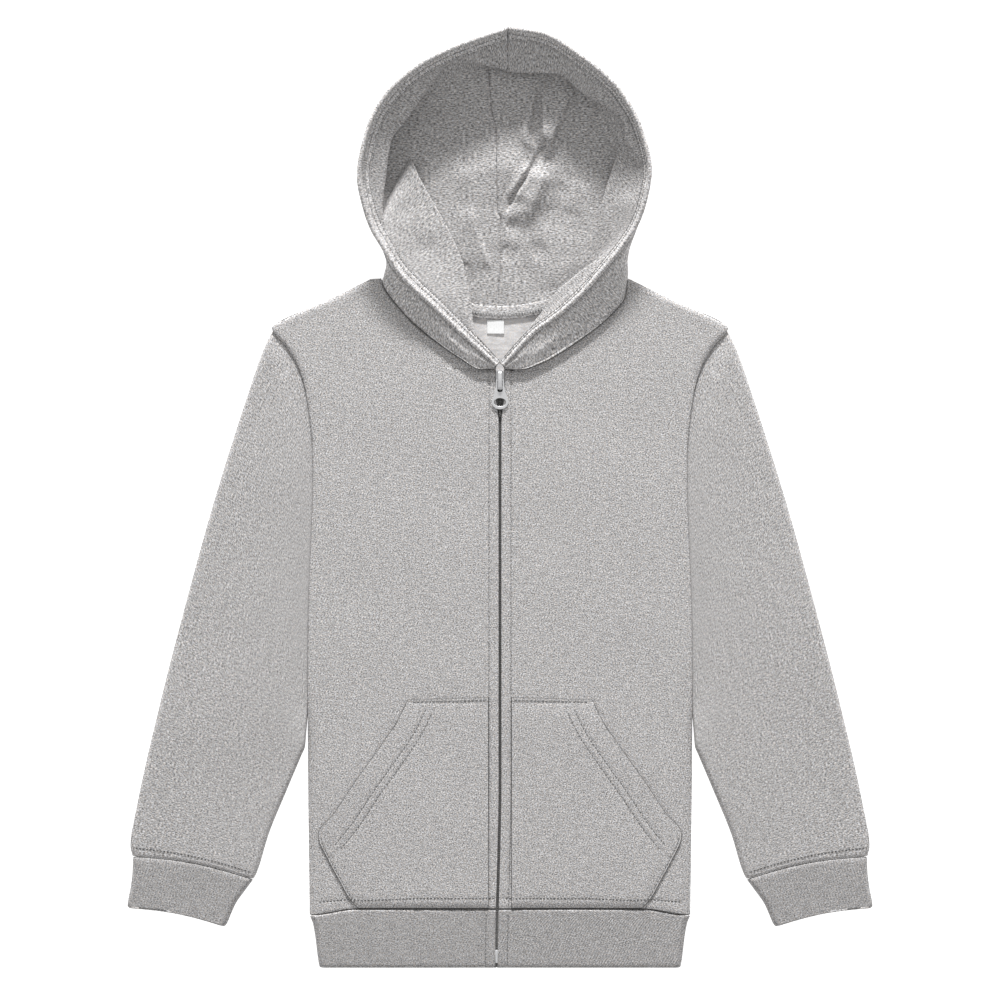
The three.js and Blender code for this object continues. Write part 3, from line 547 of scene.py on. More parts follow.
def shell(name, outer, inner, quads, flat, cloth, materials, roll=0.5):
    """A sheet of cloth between two skins, with a rounded edge round each free border."""
    outer, inner = outer.reshape(-1, 3).copy(), inner.reshape(-1, 3).copy()
    cloth = cloth.reshape(-1, 2)
    count = len(outer)
    a, b = quads, np.roll(quads, -1, axis=1)
    flat_a, flat_b = flat, np.roll(flat, -1, axis=1)
    forward, backward = a * count + b, b * count + a
    free = ~np.isin(forward, backward)
    start, end = a[free], b[free]
    cloth_start, cloth_end = cloth[flat_a[free]], cloth[flat_b[free]]

    middle = outer[quads].mean(axis=1, keepdims=True).repeat(4, axis=1)[free]
    along = outer[end] - outer[start]
    along /= np.maximum(np.linalg.norm(along, axis=1, keepdims=True), 1e-9)
    out = (outer[start] + outer[end]) / 2 - middle
    out -= along * (out * along).sum(axis=1, keepdims=True)
    out /= np.maximum(np.linalg.norm(out, axis=1, keepdims=True), 1e-9)
    total = np.zeros((count, 3))
    np.add.at(total, start, out)
    np.add.at(total, end, out)
    border = np.unique(np.concatenate([start, end]))
    direction = total[border]
    direction /= np.maximum(np.linalg.norm(direction, axis=1, keepdims=True), 1e-9)
    half = np.linalg.norm(outer[border] - inner[border], axis=1, keepdims=True) / 2
    outer[border] -= direction * half * roll
    inner[border] -= direction * half * roll
    centre, radius = (outer[border] + inner[border]) / 2, (outer[border] - inner[border]) / 2
    bands = [
        centre + radius * math.cos(turn) + direction * half * roll * math.sin(turn)
        for turn in np.linspace(0, math.pi, 5)[1:-1]
    ]
    place_of = np.full(count, -1)
    place_of[border] = np.arange(len(border))
    levels = [start, *(2 * count + k * len(border) + place_of[start] for k in range(len(bands))),
              start + count]
    levels_end = [end, *(2 * count + k * len(border) + place_of[end] for k in range(len(bands))), end + count]
    strips, strips_cloth = [], []
    for k in range(len(levels) - 1):
        strips.append(np.stack([levels_end[k], levels[k], levels[k + 1], levels_end[k + 1]], 1))
        strips_cloth.append(np.stack([cloth_end, cloth_start, cloth_start, cloth_end], 1))
    points = np.concatenate([outer, inner, *bands])
    faces = np.concatenate([quads, quads[:, ::-1] + count, *strips])
    corners = np.concatenate([cloth[flat], cloth[flat[:, ::-1]], *strips_cloth])
    # A third material, where given, goes on the edge strips as painted shade.
    edge_kind = 2 if len(materials) > 2 else 0
    edge_kinds = np.full(len(strips) * len(start), edge_kind)
    kinds = np.concatenate([np.zeros(len(quads)), np.ones(len(quads)), edge_kinds])
    p = points[faces]
    first = (p[:, 0] * np.cross(p[:, 1], p[:, 2])).sum()
    second = (p[:, 0] * np.cross(p[:, 2], p[:, 3])).sum()
    if first + second < 0:
        faces, corners = faces[:, ::-1], corners[:, ::-1]
    if len(materials) == 1:
        kinds[:] = 0
    return add_mesh(name, points, faces, materials, kinds, corners)


def beads(name, starts, ends, radius, material, sides=6):
    """Short round-ended threads, one from each start to its end, as one mesh."""
    starts, ends = np.asarray(starts, float), np.asarray(ends, float)
    run = ends - starts
    length = np.linalg.norm(run, axis=1, keepdims=True)
    run = run / np.maximum(length, 1e-9)
    helper = np.where(np.abs(run[:, 2:3]) > 0.9, [[1.0, 0, 0]], [[0, 0, 1.0]])
    side = np.cross(run, helper)
    side /= np.linalg.norm(side, axis=1, keepdims=True)
    up = np.cross(side, run)
    rings = ((0.0, 0.0), (0.12, 0.75), (0.5, 1.0), (0.88, 0.75), (1.0, 0.0))
    count = len(starts)
    points = []
    for share, size in rings:
        centre = starts + (ends - starts) * share
        if size == 0:
            points.append(centre[:, None, :])
            continue
        turns = np.arange(sides) * 2 * math.pi / sides
        offset = (side[:, None, :] * np.cos(turns)[None, :, None]
                  + up[:, None, :] * np.sin(turns)[None, :, None])
        points.append(centre[:, None, :] + offset * radius * size)
    stack = np.concatenate(points, axis=1)
    per = stack.shape[1]
    faces = []
    for j in range(sides):
        k = (j + 1) % sides
        first, second, third = 1 + j, 1 + sides + j, 1 + 2 * sides + j
        first_k, second_k, third_k = 1 + k, 1 + sides + k, 1 + 2 * sides + k
        faces += [(0, first_k, first), (first, first_k, second_k), (first, second_k, second)]
        faces += [(second, second_k, third_k), (second, third_k, third), (third, third_k, per - 1)]
    faces = (np.array(faces)[None, :, :] + (np.arange(count) * per)[:, None, None]).reshape(-1, 3)
    return add_mesh(name, stack.reshape(-1, 3), faces, [material])


def stitch_ends(path, pitch=2.7, length=2.0):
    """Where each stitch along a path starts and ends."""
    path = np.asarray(path, float)
    far = np.concatenate(([0], np.cumsum(np.linalg.norm(np.diff(path, axis=0), axis=1))))
    starts = np.arange(pitch - length, far[-1] - length, pitch)

    def read(at):
        return np.stack([np.interp(at, far, column) for column in path.T], axis=1)

    return read(starts), read(starts + length)


def stitches(name, paths, material, radius=0.27, pitch=2.7, length=2.0):
    pairs = [stitch_ends(path, pitch, length) for path in paths]
    starts = np.concatenate([pair[0] for pair in pairs])
    ends = np.concatenate([pair[1] for pair in pairs])
    made = beads(name, starts, ends, radius, material)
    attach(made, "garment")
    return made


# Materials


def node_tree(name):
    material = bpy.data.materials.new(name)
    material.use_nodes = True
    return material, material.node_tree.nodes, material.node_tree.links


def linear(grey):
    """A screen grey from 0 to 255 as linear light."""
    share = grey / 255
    return ((share + 0.055) / 1.055) ** 2.4 if share > 0.04045 else share / 12.92


def cloth_noise(nodes, links, scale, stretch, detail=2.0, rough=0.6, turn=0.0):
    """Noise over the flat cloth, with its grains longer across the cloth than along it."""
    place_node = nodes.new("ShaderNodeUVMap")
    place_node.uv_map = "cloth"
    mapping = nodes.new("ShaderNodeMapping")
    mapping.inputs["Scale"].default_value = (scale * stretch, scale, 1)
    mapping.inputs["Rotation"].default_value = (0, 0, turn)
    noise = nodes.new("ShaderNodeTexNoise")
    noise.inputs["Scale"].default_value = 1
    noise.inputs["Detail"].default_value = detail
    noise.inputs["Roughness"].default_value = rough
    links.new(place_node.outputs["UV"], mapping.inputs["Vector"])
    links.new(mapping.outputs["Vector"], noise.inputs["Vector"])
    return noise.outputs["Fac"]


def ramp(nodes, links, value, stops):
    node = nodes.new("ShaderNodeValToRGB")
    elements = node.color_ramp.elements
    while len(elements) < len(stops):
        elements.new(0.5)
    for element, (position, colour) in zip(elements, stops):
        element.position = position
        element.color = (*colour, 1)
    links.new(value, node.inputs["Fac"])
    return node.outputs["Color"]


def mixed(nodes, links, blend, factor, first, second):
    node = nodes.new("ShaderNodeMix")
    node.data_type = "RGBA"
    node.blend_type = blend
    node.inputs["Factor"].default_value = factor
    links.new(first, node.inputs["A"])
    links.new(second, node.inputs["B"])
    return node.outputs["Result"]


def heather(name, grey, contrast=1.0, fuzz=0.03, ribs=0.0, turn=0.0, stretch=0.7, grain=1500):
    """Marled knit: light and dark grains with a warm and a cool tint."""
    material, nodes, links = node_tree(name)
    shader = nodes["Principled BSDF"]
    base = linear(grey)
    dark, light = base * (1 - 0.8 * contrast), base * (1 + 0.9 * contrast)
    grains = cloth_noise(nodes, links, grain, stretch, 3.0, 0.7, turn)
    grain_colour = ramp(
        nodes,
        links,
        grains,
        [(0.34, (dark, dark, dark)), (0.5, (base, base * 0.99, base * 0.985)), (0.66, (light, light, light))],
    )
    tint = cloth_noise(nodes, links, 900, 0.7, 1.0, 0.5)
    tint_colour = ramp(nodes, links, tint,
                       [(0.35, (0.94, 0.95, 1.02)), (0.5, (1.01, 0.99, 0.98)), (0.65, (1.1, 0.98, 0.9))])
    streaks = cloth_noise(nodes, links, 480, 0.3, 3.0, 0.65, turn)
    streak_colour = ramp(nodes, links, streaks, [(0.32, (0.8, 0.8, 0.8)), (0.68, (1.2, 1.2, 1.2))])
    colour = mixed(nodes, links, "MULTIPLY", 0.55, grain_colour, tint_colour)
    colour = mixed(nodes, links, "MULTIPLY", 0.8, colour, streak_colour)
    links.new(colour, shader.inputs["Base Color"])
    shader.inputs["Roughness"].default_value = 0.92
    shader.inputs["Specular IOR Level"].default_value = 0.15
    shader.inputs["Sheen Weight"].default_value = fuzz
    shader.inputs["Sheen Roughness"].default_value = 0.6
    bump = nodes.new("ShaderNodeBump")
    bump.inputs["Strength"].default_value = 0.35
    bump.inputs["Distance"].default_value = 0.00008
    links.new(cloth_noise(nodes, links, grain * 0.85, stretch, 1.0, 0.5, turn), bump.inputs["Height"])
    normal = bump.outputs["Normal"]
    if ribs:
        wave_place = nodes.new("ShaderNodeUVMap")
        wave_place.uv_map = "cloth"
        wave = nodes.new("ShaderNodeTexWave")
        wave.wave_type = "BANDS"
        wave.bands_direction = "X"
        wave.wave_profile = "SIN"
        wave.inputs["Scale"].default_value = ribs
        wave.inputs["Distortion"].default_value = 0.0
        links.new(wave_place.outputs["UV"], wave.inputs["Vector"])
        rib_bump = nodes.new("ShaderNodeBump")
        rib_bump.inputs["Strength"].default_value = 0.4
        rib_bump.inputs["Distance"].default_value = 0.0003
        links.new(wave.outputs["Fac"], rib_bump.inputs["Height"])
        links.new(normal, rib_bump.inputs["Normal"])
        normal = rib_bump.outputs["Normal"]
    links.new(normal, shader.inputs["Normal"])
    return material


def plain(name, colour, roughness, metallic=0.0, uneven=0.12, scale=1800):
    """Thread, coil, satin or metal: one colour with fine wear in it and in its shine."""
    material, nodes, links = node_tree(name)
    shader = nodes["Principled BSDF"]
    coordinates = nodes.new("ShaderNodeTexCoord")
    noise = nodes.new("ShaderNodeTexNoise")
    noise.inputs["Scale"].default_value = scale
    noise.inputs["Detail"].default_value = 2.0
    links.new(coordinates.outputs["Object"], noise.inputs["Vector"])
    low, high = (tuple(part * (1 + way * uneven) for part in colour) for way in (-1, 1))
    links.new(ramp(nodes, links, noise.outputs["Fac"], [(0.3, low), (0.7, high)]),
              shader.inputs["Base Color"])
    bump = nodes.new("ShaderNodeBump")
    bump.inputs["Strength"].default_value = 0.25
    bump.inputs["Distance"].default_value = 0.00004
    links.new(noise.outputs["Fac"], bump.inputs["Height"])
    links.new(bump.outputs["Normal"], shader.inputs["Normal"])
    shader.inputs["Roughness"].default_value = roughness
    shader.inputs["Metallic"].default_value = metallic
    return material


def grey(value):
    return (linear(value),) * 3


BODY_CLOTH = heather("body_fleece", 177, contrast=1.15, turn=0.3)
SLEEVE_FLEECE = heather("sleeve_fleece", 174, contrast=1.1, stretch=0.4, grain=1700)
# The hood's outer jersey is the lining jersey set lighter, so that the collar wall, which faces away from the
# lamp, reads lighter: painted light.
HOOD_JERSEY_PAINTED_LIGHT = heather("hood_jersey", 188, contrast=1.0, stretch=0.4, grain=1250)
LINING_JERSEY = heather("lining_jersey", 170, contrast=1.0, stretch=0.4, grain=1250)
RIB_KNIT = heather("rib_knit", 162, contrast=1.0, ribs=160.0)
# Dark grey for the rounded edge strips of fronts, pockets and hood: painted shade standing in for the crease
# shadow where each edge turns down.
EDGE_PAINTED_SHADE = heather("edge_painted_shade", 96, contrast=0.5)
INSIDE = heather("brushed_inside", 212, contrast=0.15, fuzz=0.1)
THREAD = plain("thread", grey(112), 0.8)
DARK_THREAD = plain("dark_thread", grey(66), 0.8)
LIGHT_THREAD = plain("light_thread", grey(196), 0.8)
ZIP_TAPE_WEAVE = plain("zip_tape", (0.15, 0.148, 0.145), 0.8)
COIL = plain("zip_coil", (0.14, 0.138, 0.134), 0.5)
SATIN = plain("label_satin", grey(246), 0.45)
METAL = plain("zip_metal", (0.74, 0.74, 0.75), 0.36, metallic=0.6)

# The body's outlines
body_edge = curve(BODY_EDGE, "y", "x")
over_sleeve = curve(BODY_EDGE, "y", "over_sleeve")
pocket_edge = curve(POCKET_EDGE, "y", "x")
hem_edge = curve(HEM_EDGE, "y", "x")
hem_stitch = curve(HEM_STITCH, "x", "y")
neckline = {side: curve(FRONT_NECK, "y", side) for side, _ in SIDES}


def zip_middle(y):
    return -ZIP_DRIFT * (1 - smoothstep(y, 0, DRIFT_TO))


def back_neck(x):
    share = np.minimum(1, np.abs(x) / BACK_NECK["half_width"])
    return BACK_NECK["low"] + BACK_NECK["rise"] * share ** BACK_NECK["power"]


def shoulder_line(x):
    along = (SHOULDER["tip_x"] - np.abs(x)) / (SHOULDER["tip_x"] - SHOULDER["neck_x"])
    return lerp(SHOULDER["tip_y"], SHOULDER["neck_y"], along)


def placket(x, y):
    """The zip's turned and stitched edge: raised beside the zip, with a groove where it is sewn."""
    away = np.abs(x - zip_middle(y))
    puckered = lerp(0.5, 1.8, smoothstep(y, 340, 405))
    pucker = 0.13 * puckered * waves(x * 2, y, 9, 11)
    raised = 0.25 * smoothstep(away, 0.5, 3) * (1 - smoothstep(away, 5.5, PLACKET_STITCH))
    groove = -0.5 * puckered * bell(away - PLACKET_STITCH, 1.0)
    return raised + pucker * bell(away - PLACKET_STITCH, 5) + groove


def hem_drop(x):
    """How far the hem seam dips towards the sides."""
    return 4.2 * smoothstep(np.abs(x), 98, 131)


def swell(x, y):
    """Broad soft unevenness of the laid cloth."""
    return 0.3 * waves(x, y, 120, 3) + 0.07 * waves(x, y, 34, 4)


def front_top(x, y):
    """Upper face of a front at a place on it."""
    over = over_sleeve(y)
    at_side = (body_edge(y) - np.abs(x)) / lerp(SIDE_ROUND, LAPPED_ROUND, over)
    near_neck = np.abs(x) > SHOULDER["neck_x"] - SIDE_ROUND
    at_shoulder = np.where(near_neck, (shoulder_line(x) - y) / SHOULDER_ROUND, 1)
    near = np.clip(np.minimum(at_side, at_shoulder), 0, 1)
    edge = lerp(SIDE_EDGE, LAPPED_EDGE, over)
    edge = lerp(edge, SHOULDER_EDGE, smoothstep(y, UNDERARM + 120, ARMHOLE_TOP))
    dome = np.sqrt(np.clip(1 - (1 - near) ** 2, 0, 1))
    flat = smoothstep(near, 0.2, 1)
    away_from_seam = y - BODY_BOTTOM + hem_drop(x)
    hem = -0.22 * bell(y - hem_stitch(np.abs(x)), 0.9) - 0.35 * (1 - smoothstep(away_from_seam, 0, 2.2))
    hem = hem + 0.09 * waves(x * 2, y * 0.7, 9, 21) * bell(away_from_seam - 4, 3)
    hem = hem + 0.05 * waves(x * 2, y * 0.7, 14, 22) * bell(away_from_seam - 10, 5)
    return lerp(edge, BODY_TOP, dome) + flat * (swell(x, y) + hem + placket(x, y))


def front_inner_edge(side, y):
    at_slider = smoothstep(y, SLIDER_FROM - 24, SLIDER_FROM)
    return np.where(y > ZIP_TOP, neckline[side](y), lerp(SLIT, SLIDER_SLIT, at_slider))


NEAR_STEPS = np.array([0, 0.35, 0.8, 1.4, 2.2, 3.2, 4.4, 5.6, 6.5, 7.1, 7.6, 8.1, 8.8, 10])
FAR_STEPS = np.array([8, 5.6, 4.2, 3.2, 2.4, 1.7, 1.1, 0.65, 0.3, 0.08, 0])


def across_steps(width, middle):
    """Distances across a panel, close together near its two edges."""
    near = NEAR_STEPS * min(1, width / 30)
    far = width - FAR_STEPS * min(1, width / 30)
    return np.concatenate([near, np.linspace(near[-1], far[0], middle + 2)[1:-1], far])


def front(side, sign):
    spaced = [np.arange(BODY_BOTTOM, 53, 0.7), np.arange(53, 405, 2.4),
              np.arange(405, SHOULDER["neck_y"], 1.4)]
    rows = np.unique(np.concatenate([*spaced, [ZIP_TOP, ARMHOLE_TOP, SHOULDER["tip_y"], SHOULDER["neck_y"]]]))
    points = []
    for y in rows:
        from_x = float(front_inner_edge(side, y))
        drift = 0 if y > ZIP_TOP else sign * float(zip_middle(y))
        width = float(body_edge(y)) - from_x - drift
        x = sign * (from_x + drift + across_steps(width, 34))
        ys = y - hem_drop(x) * (1 - smoothstep(y, BODY_BOTTOM, 60))
        z = front_top(x, ys)
        from_neck = np.abs(np.abs(x) - from_x)
        if y > ZIP_TOP:
            z = z - 1.3 * (1 - smoothstep(from_neck, 0, 2.2)) * min(1, width / 20)
        points.append(np.stack([x, ys, z], 1))
    outer = np.array(points)
    near_zip_top = smoothstep(outer[..., 1], ZIP_TOP - 3, ZIP_TOP) * (outer[..., 1] <= ZIP_TOP)
    near_zip_top = near_zip_top * (np.abs(outer[..., 0]) < 24)
    outer[..., 2] -= 1.4 * near_zip_top
    normals = skin_normals(outer) * sign
    inner = outer - normals * FLEECE
    quads, flat = grid(*outer.shape[:2])
    cloths = [BODY_CLOTH, INSIDE, EDGE_PAINTED_SHADE]
    made = shell(f"cloth_front_{side}", outer, inner, quads, flat, outer[..., :2], cloths)
    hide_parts(f"front_{side}")
    return made


def back():
    straight_rows = np.concatenate([np.linspace(41, 400, 90), np.linspace(402, 428.5, 12)])
    fan = np.linspace(0, 1, 15)[1:]
    columns = np.concatenate([np.linspace(-1, -0.95, 7)[:-1], np.linspace(-0.95, 0.95, 56),
                              np.linspace(0.95, 1, 7)[1:]])

    def half_width(y):
        return body_edge(y) - TUCK * over_sleeve(y)

    rows = [np.stack([columns * half_width(y), np.full_like(columns, y)], 1) for y in straight_rows]
    last = straight_rows[-1]
    top_x = columns * (float(body_edge(ARMHOLE_TOP)) - 1)
    shoulder = np.maximum(shoulder_line(top_x), ARMHOLE_TOP)
    top_y = np.where(np.abs(top_x) < BACK_NECK["half_width"], back_neck(top_x), shoulder)
    for rise in fan:
        rows.append(np.stack([lerp(columns * half_width(last), top_x, rise), lerp(last, top_y, rise)], 1))
    outline = np.array(rows)
    from_side = half_width(outline[..., 1]) - np.abs(outline[..., 0])
    lift = 2.1 * (1 - np.clip(from_side / 5, 0, 1)) ** 2 * (1 - over_sleeve(outline[..., 1]))
    lower = np.concatenate([outline, lift[..., None]], axis=2)
    upper = lower.copy()
    upper[..., 2] = np.where(lift > 0, np.maximum(FLEECE, lift + 0.2), FLEECE)
    upper[..., 0] -= np.sign(upper[..., 0]) * np.where(from_side < 2, 2 - from_side, 0) * (lift > 0)
    quads, flat = grid(*outline.shape[:2])
    made = shell("cloth_back", lower, upper, quads, flat, outline, [BODY_CLOTH, INSIDE], roll=0.3)
    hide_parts("back_panel")
    return made


def pocket_lift(x, y):
    """How far the pocket's upper face stands over the front."""
    away, share = from_path(np.abs(x), y, POCKET_MOUTH)
    away = np.abs(away)
    inside = np.minimum(POCKET_TOP - y, np.abs(pocket_edge(y) - np.abs(x)))
    mouth = bell(away, 9) * np.sin(math.pi * np.clip(share, 0, 1)) ** 0.7 * POCKET["mouth_lift"]
    seams = sum(-0.2 * bell(away - distance, 0.8) for distance in MOUTH_STITCHES)
    hemmed = 0.12 * (1 - smoothstep(away, MOUTH_STITCHES[1] - 1, MOUTH_STITCHES[1] + 1))
    sewn = -0.18 * bell(POCKET_TOP - 1.9 - y, 0.7) - 0.18 * bell(inside - 1.9, 0.7) * (y < 90)
    body = 0.3 * smoothstep(inside, 0, 12)
    at_hem = smoothstep(y, 40, 47)
    return POCKET["gap"] + lerp(0.25, POCKET["cloth"] + mouth + seams + hemmed + sewn + body, at_hem)


def pocket_places(side, sign):
    rows = np.unique(np.concatenate([np.arange(41.2, 90, 1.7), np.arange(90, 96, 0.6),
                                     np.arange(96, 185, 1.6),
                                     [182.5, 183, 183.4, 183.8, 184.3, 184.8, 185.3]]))
    steps = np.concatenate([np.linspace(0, 0.1, len(NEAR_STEPS)), np.linspace(0.1, 0.72, 26)[1:-1],
                            np.linspace(0.72, 1, 40)])
    places = []
    for y in rows:
        x = lerp(POCKET["inner"], float(pocket_edge(y)), steps)
        rise = POCKET["top_rise"] * (1 - x / 64) * smoothstep(y, 165, POCKET_TOP)
        places.append(np.stack([sign * x, y + rise], 1))
    return np.array(places)


def pocket(side, sign):
    places = pocket_places(side, sign)
    x, y = places[..., 0], places[..., 1]
    z = front_top(x, y) + pocket_lift(x, y)
    outer = np.concatenate([places, z[..., None]], axis=2)
    inner = outer.copy()
    inner[..., 2] -= POCKET["cloth"]
    quads, flat = grid(*places.shape[:2])
    cloths = [BODY_CLOTH, INSIDE, EDGE_PAINTED_SHADE]
    made = shell(f"cloth_pocket_{side}", outer, inner, quads, flat, places, cloths, roll=0.9)
    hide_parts(f"pocket_{side}")
    return made


# Flattened tubes
FOLD_TURNS = np.radians(np.linspace(0, 90, 8))
FACE_STEPS = 42


def tube_ring(line, height, inset, relief=None):
    """One ring of a flattened tube: over its upper face and back along the lower one."""
    length = np.linalg.norm(line(np.array([1.0]))[0] - line(np.array([0.0]))[0])
    start, end = height(np.array([0.0]))[0] / 2, height(np.array([1.0]))[0] / 2
    fold = 1 - np.cos(FOLD_TURNS)
    from_start = (start - (start - inset) * np.cos(FOLD_TURNS)) / length
    from_end = 1 - (end - (end - inset) * np.cos(FOLD_TURNS)) / length
    middle = np.linspace(from_start[-1], from_end[-1], FACE_STEPS)[1:-1]
    shares = np.concatenate([from_start, middle, from_end[::-1]])
    turns = np.concatenate([FOLD_TURNS, np.full(len(middle), math.pi / 2), FOLD_TURNS[::-1]])
    half = height(shares) / 2
    place_on = line(shares)
    rings = []
    for face in (1, -1):
        z = half + face * (half - inset) * np.sin(turns)
        if face > 0 and relief is not None:
            z = z + relief(place_on[:, 0], place_on[:, 1]) * np.sin(turns) ** 2
        rings.append(np.concatenate([place_on, z[:, None]], axis=1))
    upper, lower = rings
    return np.concatenate([upper, lower[::-1][1:-1]])


def tube(name, rings, cloth, materials, relief=None):
    outer = np.array([tube_ring(line, height, 0.0, relief) for line, height in rings])
    inner = np.array([tube_ring(line, height, cloth, relief) for line, height in rings])
    around = np.linalg.norm(np.diff(outer, axis=1, append=outer[:, :1]), axis=2)
    girth = np.concatenate([np.zeros((len(rings), 1)), np.cumsum(around, axis=1)], axis=1)
    girth -= girth[:, :1] + girth[:, -1:] / 4
    centre = outer.mean(axis=1)
    far = np.concatenate([[0], np.cumsum(np.linalg.norm(np.diff(centre, axis=0), axis=1))])
    flat_cloth = np.stack([girth, np.repeat(far[:, None], girth.shape[1], 1)], axis=2)
    quads, flat = grid(outer.shape[0], outer.shape[1], around=True)
    return shell(name, outer, inner, quads, flat, flat_cloth, materials)


sleeve_outer = {axis: curve(SLEEVE_OUTER, "at", axis) for axis in "xy"}
sleeve_inner = {axis: curve(SLEEVE_INNER, "at", axis) for axis in "xy"}


def bowed(a, b, share, bow):
    x = lerp(a[0], b[0], share)
    y = lerp(a[1], b[1], share) + bow * np.sin(math.pi * np.clip(share, 0, 1))
    return np.stack([x, y], axis=-1)


def armhole(share):
    """The armhole edge of a sleeve, from the shoulder tip down to the underarm."""
    y = lerp(SLEEVE_OUTER["y"][0], UNDERARM, share)
    return np.stack([body_edge(y) - TUCK + ARMHOLE_GAP, y], axis=-1)


def sleeve_ring(sign, at):
    a = (float(sleeve_outer["x"](at)), float(sleeve_outer["y"](at)))
    b = (float(sleeve_inner["x"](at)), float(sleeve_inner["y"](at)))
    top = (SLEEVE_OUTER["x"][0], SLEEVE_OUTER["y"][0])
    under = (SLEEVE_INNER["x"][0], SLEEVE_INNER["y"][0])
    pinch = lerp(1, 0.93, smoothstep(at, 0.994, 1))

    def line(share):
        straight = bowed(a, b, share, CUFF_SEAM_BOW * at**4)
        curved = (armhole(share) - bowed(top, under, share, 0)) * (1 - at) ** 4
        return (straight + curved) * np.array([sign, 1.0])

    def height(share):
        p = line(share)
        beside = np.abs(p[:, 0]) - body_edge(p[:, 1])
        lapped = over_sleeve(p[:, 1]) * (1 - smoothstep(beside, 0.5, LAP_FADE))
        below = 1 - smoothstep(p[:, 1], UNDERARM - 25, UNDERARM + 25)
        lapped = lerp(lapped, np.minimum(1, 1.6 * lapped), below)
        return lerp(SLEEVE_TOP, SLEEVE_LAPPED_TOP, lapped) * pinch

    return line, height


def sleeve_relief(sign):
    def relief(x, y):
        reach = np.abs(x)
        near_cuff = smoothstep(-y, -110, -75)
        soft = 0.3 * waves(x, y, 110, 31 + int(sign)) + 0.06 * waves(x, y, 30, 35 + int(sign))
        gathers = 0.08 * waves(x, y * 0.25, 12, 41) * near_cuff
        beside = reach - body_edge(y)
        clear = smoothstep(beside, 1, 10)
        return (soft + gathers) * clear

    return relief


def sleeve(side, sign):
    stations = np.unique(np.concatenate([np.linspace(0, 0.06, 10), np.linspace(0.06, 0.95, 92),
                                         np.linspace(0.95, 1, 14)]))
    rings = [sleeve_ring(sign, at) for at in stations]
    cloths = [SLEEVE_FLEECE, INSIDE]
    made = tube(f"cloth_sleeve_{side}", rings, SLEEVE_CLOTH, cloths, sleeve_relief(sign))
    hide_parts(f"sleeve_{side}")
    return made


def cuff(side, sign):
    columns = {name: curve(CUFF, "share", name)
               for name in ("outer_x", "outer_y", "inner_x", "inner_y", "bow")}
    rings = []
    for share in np.concatenate([np.linspace(0, 0.12, 7), np.linspace(0.12, 0.95, 14)[1:], [0.98, 1]]):
        read = {name: float(value(share)) for name, value in columns.items()}
        pinch = lerp(0.89, 0.95, float(smoothstep(share, 0, 0.06)))

        def line(at, read=read):
            outer, inner = (read["outer_x"], read["outer_y"]), (read["inner_x"], read["inner_y"])
            return bowed(outer, inner, at, read["bow"]) * np.array([sign, 1.0])

        def height(at, pinch=pinch):
            return np.full(np.shape(at), CUFF_TOP * pinch)

        rings.append((line, height))

    def ripple(x, y):
        return 0.06 * waves(x, y, 12, 51) + 0.15 * waves(x, y, 45, 52)

    made = tube(f"cloth_cuff_{side}", rings, RIB, [RIB_KNIT], ripple)
    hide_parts(f"cuff_{side}")
    return made


def rib_height(x, y):
    """The rib's rows follow the hem seam's dip near their top."""
    return y - hem_drop(x) * smoothstep(y, 12, BODY_BOTTOM)


def waistband():
    rows = np.concatenate([[0, 0.6, 1.4, 2.4], np.linspace(4, 36, 22), [37.4, 38.4, 39.2, 39.9, 40.6]])
    turns = np.radians(np.linspace(90, -90, 13))
    radius = HEM_TOP / 2
    skins = []
    for inset in (0.0, RIB):
        skin = []
        for y in rows:
            half = float(hem_edge(y))
            seam = 0.5 + 0.3 * float(smoothstep(y, 38.6, 40.6)) + 0.6 * float(1 - smoothstep(y, 0, 2.2))
            row = []
            for sign in (-1.0, 1.0):
                start = float(zip_middle(y)) + sign * SLIT
                reach = sign * (half - radius) - start
                x = start + np.sign(reach) * across_steps(abs(reach), 34)[:-1]
                relief = 0.06 * waves(x, y * 0.6, 11, 61) + 0.25 * waves(x, y, 90, 62)
                edge_fade = smoothstep(np.abs(x - sign * (half - radius)), 0, 6)
                z = HEM_TOP - inset + (placket(x, np.full_like(x, y)) + relief) * edge_fade - seam
                face = np.stack([x, rib_height(x, y), z], 1)
                bend_x = sign * (half - radius + (radius - inset) * np.cos(turns))
                bend_z = radius + (radius - inset) * np.sin(turns) - seam * (1 + np.sin(turns)) / 2
                bend = np.stack([bend_x, rib_height(bend_x, y), bend_z], 1)
                row.append(np.concatenate([face, bend]))
            under = np.linspace(-1, 1, 60)[1:-1] * (half - radius)
            lower = np.stack([under, rib_height(under, y), np.full_like(under, inset)], 1)
            skin.append(np.concatenate([row[0], lower, row[1][::-1]]))
        skins.append(np.array(skin))
    outer, inner = skins
    far = np.linalg.norm(np.diff(outer, axis=1, prepend=outer[:, :1]), axis=2).cumsum(axis=1)
    cloth = np.stack([far, outer[..., 1]], axis=2)
    quads, flat = grid(*outer.shape[:2])
    made = shell("cloth_waistband", outer, inner, quads, flat, cloth, [RIB_KNIT], roll=0.8)
    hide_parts("waistband")
    return made


# The hood
WALL_BELLY = curve(table("at z", (0, 0), (0.3, 0.34), (0.65, 0.69), (1, 1)), "at", "z")
hood_read = {
    side: {name: curve(HOOD[side], "at", name) for name in HOOD_COLUMNS.split()[1:]} for side, _ in SIDES
}
rim_hem = {side: curve(RIM_HEM[side], "at", "width") for side, _ in SIDES}
facing_edge = {side: {axis: curve(FACING_EDGE[side], "at", axis) for axis in "xy"} for side, _ in SIDES}


